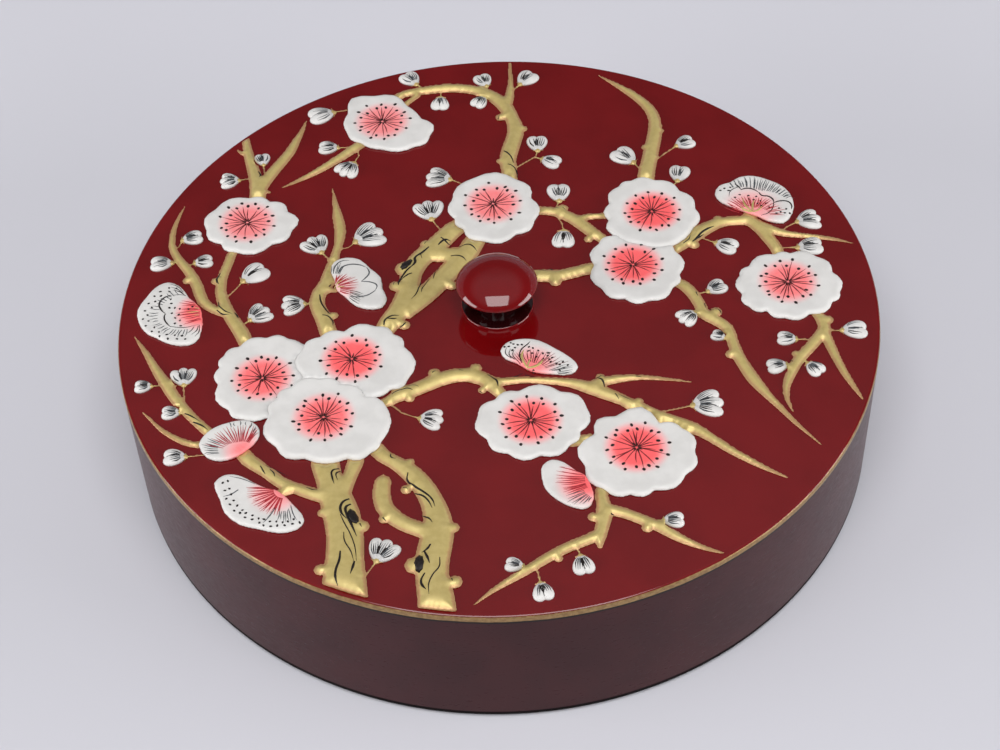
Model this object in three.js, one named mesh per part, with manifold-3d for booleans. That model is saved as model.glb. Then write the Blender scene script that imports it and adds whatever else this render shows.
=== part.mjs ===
// Round lacquered candy box with a telescoping lid, a turned knob, six compartments and a
// blossom branch built up in relief on the lid.
// Millimetres, +Z up. The origin is the middle of the face that the box stands on.
import * as THREE from "three";
import { mergeVertices } from "three/addons/utils/BufferGeometryUtils.js";
import Module from "manifold-3d";

const wasm = await Module();
wasm.setup();

// Driving dimensions of the box
const LID_RADIUS = 150;
const BOX_HEIGHT = 64; // from the table to the lid's top face
const LID_TOP_THICKNESS = 5;
const LID_EDGE_ROUNDING = 2;
const SKIRT_THICKNESS = 5;
const SKIRT_LIFT = 1.2; // the skirt stops this far above the table
const LID_CLEARANCE = 0.8; // between the skirt and the wall that it slides over
const WALL_THICKNESS = 5;
const BASE_THICKNESS = 5;
const CUP_RADIUS = 46; // outside of the round compartment in the middle
const CUP_THICKNESS = 4;
const DIVIDER_THICKNESS = 4;
const DIVIDER_COUNT = 5;
const DIVIDER_DROP = 9; // from the lid's underside to the dividers' top edge
const JOINT_GAP = 0.3; // between pieces that are cut to meet

// Driving dimensions of the knob and its fixing
const CAP_RADIUS = 16;
const CAP_RIM_RADIUS = 3.6; // of the cap's full round rim
const CAP_RIM_HEIGHT = 14; // of the cap's widest line above the lid
const CAP_CROWN = 1.2; // rise of the cap's top from its rim to its middle
const NECK_RADIUS = 7.5;
const NECK_FLARE = 2.4; // the greater, the closer to the foot the neck turns outwards
const FOOT_RADIUS = 14.5;
const FOOT_THICKNESS = 1.6;
const FOOT_BEVEL = 0.8;
const SCREW_RADIUS = 2;
const SCREW_LENGTH = 16; // from under the screw's head to its point
const SCREW_HEAD_RADIUS = 4.2;
const SCREW_HEAD_HEIGHT = 2.4;
const SCREW_HEAD_CROWN = 0.6; // the head's flat end as a share of its width
const WASHER_RADIUS = 7;
const WASHER_THICKNESS = 1;
const SCREW_CLEARANCE = 0.4; // round the shank, in every hole that it passes

// Driving dimensions of the relief on the lid
const BLOSSOM_MARGIN = 7; // from the outermost blossom to the lid's edge
const BLOSSOM_HEIGHT = 1.8;
const BLOSSOM_DISH = 0.4; // depth of the hollow in the middle of a blossom
const PETAL_EDGE = 0.45; // height of a petal's upright edge as a share of the blossom's
const PETAL_SLOPE = 0.07; // width of the slope above that edge as a share of the blossom's reach
const BUD_HEIGHT = 1.4;
const BOUGH_HEIGHT = 2.4; // where a bough is at its thickest
const TWIG_HEIGHT = 0.5; // where a bough ends in a point
const BURL_RISE = 0.25; // what a burl's radius adds to its height
const FULL_BOUGH = 12; // the width at which a bough reaches its full height
const STEM_WIDTH = 1.2;

// How finely round shapes are divided
const ROUND_STEPS = 80;
const KNOB_STEPS = 32;
const ARC_STEPS = 3;
const CROWN_STEPS = 2;
const LOBE_STEPS = 4;
const BOUGH_SIDES = 6;
const STEM_SIDES = 4;
const BUD_SIDES = 8;
const BUD_ROWS = 3;
const WELD = 1e-4; // points closer than this are one

// Sizes and places that follow from these
const LID_UNDERSIDE = BOX_HEIGHT - LID_TOP_THICKNESS;
const SKIRT_INSIDE = LID_RADIUS - SKIRT_THICKNESS;
const WALL_RADIUS = SKIRT_INSIDE - LID_CLEARANCE;
const WALL_INSIDE = WALL_RADIUS - WALL_THICKNESS;
const DIVIDER_TOP = LID_UNDERSIDE - DIVIDER_DROP;
const CUP_INSIDE = CUP_RADIUS - CUP_THICKNESS;
const SCREW_HOLE_RADIUS = SCREW_RADIUS + SCREW_CLEARANCE;
const SCREW_SEAT = LID_UNDERSIDE - WASHER_THICKNESS;
const SCREW_POINT = SCREW_SEAT + SCREW_LENGTH;
const RELIEF_LIMIT = LID_RADIUS - LID_EDGE_ROUNDING;

const red = new THREE.MeshStandardMaterial({ color: 0x6a1a20, roughness: 0.15, metalness: 0 });
const satinRed = new THREE.MeshStandardMaterial({ color: 0x5a2226, roughness: 0.4, metalness: 0 });
const black = new THREE.MeshStandardMaterial({ color: 0x15110f, roughness: 0.3, metalness: 0 });
const white = new THREE.MeshStandardMaterial({ color: 0xe4e0da, roughness: 0.35, metalness: 0 });
const gold = new THREE.MeshStandardMaterial({ color: 0x9c8248, roughness: 0.4, metalness: 0.6 });
const steel = new THREE.MeshStandardMaterial({ color: 0xa8a8a4, roughness: 0.3, metalness: 1 });

const group = new THREE.Group();

function place(name, geometry, material) {
  const mesh = new THREE.Mesh(geometry, material);
  mesh.name = name;
  group.add(mesh);
}

// The numbers 1/count, 2/count and so on up to 1.
const fractions = (count) => Array.from({ length: count }, (_, i) => (i + 1) / count);

// Points [radius, height] on an arc, from one angle to another in degrees.
function arcPoints([radius, height], size, from, to, steps) {
  return [0, ...fractions(steps)].map((t) => {
    const angle = THREE.MathUtils.degToRad(from + (to - from) * t);
    return [radius + size * Math.cos(angle), height + size * Math.sin(angle)];
  });
}

// A body turned about Z from points [radius, height]. The outline runs from the lower end of the
// axis round the outside to its upper end, or closes on itself.
function turned(outline, steps = ROUND_STEPS) {
  const points = outline.map(([radius, height]) => new THREE.Vector2(radius, height));
  return new THREE.LatheGeometry(points, steps).rotateX(Math.PI / 2);
}

function ring(outside, inside, low, high, steps = ROUND_STEPS) {
  const section = [
    [inside, low],
    [outside, low],
    [outside, high],
    [inside, high],
    [inside, low],
  ];
  return turned(section, steps);
}

// The box: a base, a wall that stands on it, a round cup in the middle and five dividers.
const baseSection = [
  [0, 0],
  [WALL_RADIUS, 0],
  [WALL_RADIUS, BASE_THICKNESS],
  [0, BASE_THICKNESS],
];
place("base_board", turned(baseSection), black);
place("body_wall", ring(WALL_RADIUS, WALL_INSIDE, BASE_THICKNESS, LID_UNDERSIDE), black);
place("centre_ring", ring(CUP_RADIUS, CUP_INSIDE, BASE_THICKNESS, DIVIDER_TOP), black);

// A divider's plan. Its ends follow the cup and the wall.
function dividerPlan(heading) {
  const half = DIVIDER_THICKNESS / 2;
  const inner = CUP_RADIUS + JOINT_GAP;
  const outer = WALL_INSIDE * Math.cos(Math.PI / ROUND_STEPS) - JOINT_GAP;
  const along = new THREE.Vector2(Math.cos(heading), Math.sin(heading));
  const across = new THREE.Vector2(-along.y, along.x);
  const corner = (radius, side) => {
    const reach = Math.sqrt(radius ** 2 - (side * half) ** 2);
    return along.clone().multiplyScalar(reach).addScaledVector(across, side * half);
  };
  return [
    corner(inner, -1),
    corner(outer, -1),
    corner(outer, 0),
    corner(outer, 1),
    corner(inner, 1),
    corner(inner, 0),
  ];
}

for (let i = 0; i < DIVIDER_COUNT; i++) {
  const heading = Math.PI / 2 + (2 * Math.PI * i) / DIVIDER_COUNT;
  const height = DIVIDER_TOP - BASE_THICKNESS;
  const shape = new THREE.Shape(dividerPlan(heading));
  const divider = new THREE.ExtrudeGeometry(shape, { depth: height, bevelEnabled: false });
  place(`divider_${i + 1}`, divider.translate(0, 0, BASE_THICKNESS), black);
}

// The lid: a top with a rounded edge and a skirt that covers the whole wall.
const edgeMiddle = [LID_RADIUS - LID_EDGE_ROUNDING, BOX_HEIGHT - LID_EDGE_ROUNDING];
const lidTopSection = [
  [SCREW_HOLE_RADIUS, LID_UNDERSIDE],
  [LID_RADIUS, LID_UNDERSIDE],
  ...arcPoints(edgeMiddle, LID_EDGE_ROUNDING, 0, 90, ARC_STEPS),
  [SCREW_HOLE_RADIUS, BOX_HEIGHT],
  [SCREW_HOLE_RADIUS, LID_UNDERSIDE],
];
place("lid_top", turned(lidTopSection), red);
place("lid_skirt", ring(LID_RADIUS, SKIRT_INSIDE, SKIRT_LIFT, LID_UNDERSIDE), satinRed);

// The knob is turned in one piece: a thin foot, a hollow neck, and a cap with a full round rim
// under a gently crowned top. A screw comes up into it through the lid.
const rimHeight = BOX_HEIGHT + CAP_RIM_HEIGHT;
const crownRadius = CAP_RADIUS - CAP_RIM_RADIUS;
const footTop = BOX_HEIGHT + FOOT_THICKNESS;
const footTopRadius = FOOT_RADIUS - FOOT_BEVEL;
const neckPoints = fractions(ARC_STEPS).map((t) => [
  NECK_RADIUS + (footTopRadius - NECK_RADIUS) * (1 - t) ** NECK_FLARE,
  footTop + (rimHeight - CAP_RIM_RADIUS - footTop) * t,
]);
const crownPoints = fractions(CROWN_STEPS).map((t) => [
  crownRadius * (1 - t),
  rimHeight + CAP_RIM_RADIUS + CAP_CROWN * (1 - (1 - t) ** 2),
]);
const knobHoleEnd = SCREW_POINT + SCREW_CLEARANCE;
const knobSection = [
  [0, knobHoleEnd],
  [SCREW_HOLE_RADIUS, knobHoleEnd],
  [SCREW_HOLE_RADIUS, BOX_HEIGHT],
  [FOOT_RADIUS, BOX_HEIGHT],
  [FOOT_RADIUS, footTop - FOOT_BEVEL],
  [footTopRadius, footTop],
  ...neckPoints,
  ...arcPoints([crownRadius, rimHeight], CAP_RIM_RADIUS, -90, 90, 2 * ARC_STEPS),
  ...crownPoints,
];
place("knob", turned(knobSection, KNOB_STEPS), red);
const washer = ring(WASHER_RADIUS, SCREW_HOLE_RADIUS, SCREW_SEAT, LID_UNDERSIDE, KNOB_STEPS);
place("knob_washer", washer, steel);

const headBottom = SCREW_SEAT - SCREW_HEAD_HEIGHT;
const screwSection = [
  [0, headBottom],
  [SCREW_HEAD_RADIUS * SCREW_HEAD_CROWN, headBottom],
  [SCREW_HEAD_RADIUS, headBottom + SCREW_HEAD_HEIGHT / 2],
  [SCREW_HEAD_RADIUS, SCREW_SEAT],
  [SCREW_RADIUS, SCREW_SEAT],
  [SCREW_RADIUS, SCREW_POINT - SCREW_RADIUS],
  [0, SCREW_POINT],
];
place("knob_screw", turned(screwSection, KNOB_STEPS), steel);

// The relief: blossoms seen from the front and from the side, and gilded boughs with their buds.
// All of it is built up in hardened paste and lies flat on the lid's top face. Its plan is drawn on
// a grid of squares, with x to the right and y to the back. The outermost blossom sets how large a
// square is on the lid.

// A closed geometry as a solid that can be joined and cut, and the way back.
function solidOf(geometry) {
  const plain = geometry.clone();
  plain.deleteAttribute("normal");
  plain.deleteAttribute("uv");
  const merged = mergeVertices(plain, WELD);
  const { array } = merged.getAttribute("position");
  const triVerts = new Uint32Array(merged.index.array);
  return new wasm.Manifold(new wasm.Mesh({ numProp: 3, vertProperties: array, triVerts }));
}

function geometryOf(solid) {
  const { vertProperties, triVerts } = solid.getMesh();
  return new THREE.BufferGeometry()
    .setAttribute("position", new THREE.BufferAttribute(vertProperties, 3))
    .setIndex(new THREE.BufferAttribute(triVerts, 1));
}

// An outline through the notches between a blossom's lobes, counter-clockwise. Each notch is
// [angle in degrees, reach] from the blossom's middle. The lobe that follows it bulges by a share
// of its own width, which a third number may set.
const LOBE_BULGE = 0.23;

function lobedOutline({ at: [middleX, middleY], notches }) {
  const corners = notches.map(([angle, reach]) => {
    const turn = THREE.MathUtils.degToRad(angle);
    return new THREE.Vector2(middleX + reach * Math.cos(turn), middleY + reach * Math.sin(turn));
  });
  return corners.flatMap((corner, i) => {
    const chord = corners[(i + 1) % corners.length].clone().sub(corner);
    const outward = new THREE.Vector2(chord.y, -chord.x);
    const bulge = notches[i][2] ?? LOBE_BULGE;
    return [0, ...fractions(LOBE_STEPS).slice(0, -1)].map((t) =>
      corner
        .clone()
        .addScaledVector(chord, t)
        .addScaledVector(outward, bulge * Math.sin(Math.PI * t)),
    );
  });
}

// A smooth closed outline through a few points, counter-clockwise, for a blossom seen from the
// side.
function smoothOutline(points) {
  const knots = points.map(([x, y]) => new THREE.Vector3(x, y, 0));
  const curve = new THREE.CatmullRomCurve3(knots, true, "centripetal");
  const outline = curve.getPoints(2 * points.length).slice(0, -1);
  return THREE.ShapeUtils.isClockWise(outline) ? outline.reverse() : outline;
}

// A low solid on the lid with that outline as its plan. A profile point is [share of the way from
// the outline's middle to its edge, height above the lid].
function raised(outline, profile, widen = 0) {
  const middle = new THREE.Vector3();
  outline.forEach(({ x, y }) => middle.add(new THREE.Vector3(x, y, 0)));
  middle.multiplyScalar(SQUARE / outline.length);
  const points = profile.map(([share, height]) => new THREE.Vector2(share, height));
  const geometry = new THREE.LatheGeometry(points, outline.length);
  const position = geometry.getAttribute("position");
  for (let k = 0; k < position.count; k++) {
    const edge = outline[Math.floor(k / profile.length) % outline.length];
    const [share, height] = profile[k % profile.length];
    const spoke = new THREE.Vector3(edge.x, edge.y, 0).multiplyScalar(SQUARE).sub(middle);
    spoke.setLength(share * (spoke.length() + widen)).add(middle);
    position.setXYZ(k, spoke.x, spoke.y, BOX_HEIGHT + height);
  }
  return solidOf(geometry);
}

const petalProfile = [
  [0, 0],
  [1, 0],
  [1, BLOSSOM_HEIGHT * PETAL_EDGE],
  [1 - PETAL_SLOPE, BLOSSOM_HEIGHT],
  [0, BLOSSOM_HEIGHT - BLOSSOM_DISH],
];
const cutterTop = 2 * BOUGH_HEIGHT;
const cutterProfile = [
  [0, -BOUGH_HEIGHT],
  [1, -BOUGH_HEIGHT],
  [1, cutterTop],
  [0, cutterTop],
];

// The blossoms seen from the front, from the lowest to the topmost. Each is cut back from those
// that lie over it.
const blossoms = {
  blossom_7: {
    at: [-92, -33],
    notches: [
      [45, 22, 0.1], [63, 21.4], [86, 20.1], [120, 18.4], [143, 18.9], [161, 17.3], [191, 16.7],
      [234, 20], [254, 22, 0.15], [277, 21.2, 0.1], [315, 19, 0.1], [350, 16, 0.1],
    ],
  },
  blossom_5: {
    at: [57, 16.5],
    notches: [
      [28, 17.4], [60, 18], [90, 19], [117, 20.7], [136, 20.6], [172, 17.6], [216, 18.8],
      [249, 18.1], [278, 18.8], [317, 17.4], [343, 16.8],
    ],
  },
  blossom_8: {
    at: [-55, -28],
    notches: [
      [22, 19.2], [45, 19.5], [69, 19.7], [109, 17.2], [137, 20.5], [161, 23], [193, 22.6, 0.15],
      [225, 20, 0.15], [255, 18, 0.15], [285, 19, 0.15], [311, 19.4], [332, 21.7],
    ],
  },
  blossom_4: {
    at: [65, 48],
    notches: [
      [2, 17.8], [42, 16.8], [82, 18.6], [111, 20], [128, 20], [161, 17.8], [193, 18.3],
      [216, 20.8, 0.1], [254, 20.3, 0.1], [286, 21.5, 0.1], [328, 19.2],
    ],
  },
  blossom_9: {
    at: [-66, -56.6],
    notches: [
      [21, 22.2, 0.15], [35, 17.4], [75, 18], [99, 21], [131, 22.5], [150, 23], [172, 22.5],
      [212, 22.5], [246, 20, 0.15], [292, 20.8], [313, 23.5, 0.15], [329, 23.5, 0.18],
    ],
  },
  blossom_1: {
    at: [-43, 111.3],
    notches: [
      [2, 14, 0.06], [54, 12.5, 0.25], [111, 18.5, 0.4], [160, 19.1, 0.14], [198, 19, 0.17],
      [226, 17.7, 0.1], [260, 17.6, 0.16], [303, 19.7], [330, 19.9, 0.34],
    ],
  },
  blossom_2: {
    at: [-100, 51.5],
    notches: [
      [23, 16.2, 0.29], [60, 14.7], [95, 15.6], [147, 18], [186, 18.3], [223, 15.6], [248, 16.7],
      [307, 15.2], [345, 17.6, 0.34],
    ],
  },
  blossom_3: {
    at: [0.5, 54.8],
    notches: [
      [17, 16], [59, 19], [114, 20.1, 0.18], [162, 18.2], [199, 17.2], [222, 17.5], [254, 19.9],
      [297, 18.1], [332, 18.3],
    ],
  },
  blossom_6: {
    at: [115.3, 2.5],
    notches: [
      [19, 19.4], [49, 20.3], [80, 18], [100, 17.9], [141, 18.3], [160, 19.6], [190, 18.7],
      [212, 19.5], [233, 16.2], [259, 17.5], [292, 16.9], [329, 18.9], [346, 20.3],
    ],
  },
  blossom_10: {
    at: [11, -62],
    notches: [
      [15, 21.5], [51, 18.2], [107, 16], [140, 17.9], [169, 20.7], [203, 18.7], [237, 17.7],
      [278, 16.7], [319, 18.1], [341, 18.5],
    ],
  },
  blossom_11: {
    at: [48.7, -78],
    notches: [
      [28, 20.2], [51, 15.6, 0.4], [111, 17.9, 0.35], [150, 17, 0.3], [200, 20.3], [234, 21.9],
      [260, 21], [285, 19.8], [324, 21.3], [355, 21.6],
    ],
  },
};

// The blossoms seen from the side lie under those seen from the front.
const sideBlossoms = {
  side_blossom_left: [
    [-117.5, 4], [-123, 11], [-126.5, 17], [-132, 20.2], [-137, 17], [-140, 11.8], [-142.8, 5.5],
    [-141.8, -1.5], [-138, -7.7], [-134.5, -9.9], [-128.5, -13.8], [-121, -14.7], [-117.3, -11],
  ],
  side_blossom_inner_left: [
    [-63.8, 11.5], [-64.6, 16.5], [-66.5, 22.5], [-65, 27.5], [-60.5, 29.4], [-55, 28],
    [-50.6, 22.5], [-46.3, 17.2], [-45.7, 11], [-43.8, 5.5], [-45.5, 1], [-50, 0.1], [-56, 2.3],
    [-60.5, 7.7],
  ],
  side_blossom_low_left: [
    [-114, -66], [-112, -61.3], [-108.5, -58], [-103, -55.8], [-97, -55], [-92.5, -57.8],
    [-91.4, -62.5], [-93.5, -67], [-96, -69.5], [-99.5, -72.5], [-105.5, -74.2], [-110.5, -72.3],
  ],
  side_blossom_front_left: [
    [-83.5, -89.8], [-88, -88.3], [-93, -85.3], [-98, -81.8], [-103.5, -81], [-107.2, -84.7],
    [-104.5, -92.5], [-102.5, -98.7], [-96.5, -104.5], [-90, -106.7], [-82.5, -109], [-76, -107.8],
    [-73.3, -103.8], [-77, -97.5],
  ],
  side_blossom_back_right: [
    [104.5, 44.5], [99, 48.3], [94, 51.8], [91.9, 56.5], [94.3, 61.8], [98.5, 63], [103, 66.2],
    [109, 66.5], [115.5, 63.3], [121, 58.7], [123.6, 51], [122.3, 43.5], [118, 38.1], [112, 39.5],
    [108, 42.5],
  ],
  side_blossom_middle: [
    [10, -35.5], [6.5, -32.2], [2.3, -29.8], [0.3, -25.5], [3, -21.2], [9.5, -19.8], [15.5, -21.2],
    [21.5, -25.8], [27.3, -31], [29.8, -35.5], [27, -39], [20, -38.6], [14, -37.5],
  ],
  side_blossom_front: [
    [29.5, -89.5], [26, -87], [21.5, -82.5], [17, -81], [13.6, -84], [13.4, -88], [14.2, -94],
    [18.5, -99.7], [24, -103.5], [29, -104.3], [31.6, -100], [30.8, -93.5],
  ],
};

const petalOutlines = [
  ...Object.entries(sideBlossoms).map(([name, points]) => [name, smoothOutline(points)]),
  ...Object.entries(blossoms).map(([name, blossom]) => [name, lobedOutline(blossom)]),
];
const drawnReach = Math.max(
  ...petalOutlines.flatMap(([, outline]) => outline.map(({ x, y }) => Math.hypot(x, y))),
);
const SQUARE = (LID_RADIUS - BLOSSOM_MARGIN) / drawnReach;
const petalCutters = petalOutlines.map(([, outline]) => raised(outline, cutterProfile, JOINT_GAP));

petalOutlines.forEach(([name, outline], i) => {
  const over = petalCutters.slice(i + 1);
  const petals = over.reduce((solid, cutter) => solid.subtract(cutter), raised(outline, petalProfile));
  place(name, geometryOf(petals), white);
});

// A limb of a bough, through stations [x, y, width]. Its section is half round, and its ridge is
// the higher, the wider it is.
function limb(stations, sides = BOUGH_SIDES, rowsEach = 2) {
  const knots = stations.map(([x, y, width]) => new THREE.Vector3(x, y, width));
  const rows = rowsEach * (stations.length - 1);
  const line = new THREE.CatmullRomCurve3(knots, false, "centripetal").getPoints(rows);
  const geometry = new THREE.CylinderGeometry(1, 1, 1, sides, rows);
  const widest = Math.max(...fractions(sides).map((t) => Math.sin(2 * Math.PI * t)));
  const position = geometry.getAttribute("position");
  for (let k = 0; k < position.count; k++) {
    const row = Math.round((0.5 - position.getY(k)) * rows);
    const { x, y, z: width } = line[row];
    const ahead = line[Math.min(row + 1, rows)];
    const behind = line[Math.max(row - 1, 0)];
    const along = new THREE.Vector2(ahead.x - behind.x, ahead.y - behind.y).normalize();
    const aside = ((position.getX(k) / widest) * width) / 2;
    const share = Math.min(1, width / FULL_BOUGH);
    const ridge = TWIG_HEIGHT + (BOUGH_HEIGHT - TWIG_HEIGHT) * share;
    position.setXYZ(
      k,
      SQUARE * (x - along.y * aside),
      SQUARE * (y + along.x * aside),
      BOX_HEIGHT + ridge * Math.max(0, position.getZ(k)),
    );
  }
  return solidOf(geometry);
}

// A low oval mound, long in its heading.
function mound(x, y, heading, length, width, height) {
  const widest = Math.sin(Math.PI / BUD_ROWS);
  const geometry = new THREE.SphereGeometry(1, BUD_SIDES, BUD_ROWS).rotateX(Math.PI / 2);
  const position = geometry.getAttribute("position");
  for (let k = 0; k < position.count; k++) {
    const z = height * Math.max(0, position.getZ(k));
    const along = ((position.getX(k) / widest) * length) / 2;
    const across = ((position.getY(k) / widest) * width) / 2;
    position.setXYZ(k, along, across, z);
  }
  geometry.rotateZ(THREE.MathUtils.degToRad(heading));
  geometry.translate(x, y, 0).scale(SQUARE, SQUARE, 1).translate(0, 0, BOX_HEIGHT);
  return solidOf(geometry);
}

const burl = (x, y, radius) => mound(x, y, 0, 2 * radius, 2 * radius, TWIG_HEIGHT + radius * BURL_RISE);

// A bud points in its heading, and a stem runs from its lower end through the given points.
const BUD_PLUMPNESS = 0.85; // a bud's width as a share of its length
const BUD_OVERLAP = 0.8; // how far its stem starts inside it

function bud(x, y, heading, length, ...stemPoints) {
  const turn = THREE.MathUtils.degToRad(heading);
  const reach = length / 2 - BUD_OVERLAP;
  const foot = [x - reach * Math.cos(turn), y - reach * Math.sin(turn)];
  const stem = [foot, ...stemPoints].map(([stemX, stemY]) => [stemX, stemY, STEM_WIDTH]);
  const petals = mound(x, y, heading, length, length * BUD_PLUMPNESS, BUD_HEIGHT);
  return petals.add(limb(stem, STEM_SIDES, 1));
}

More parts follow.
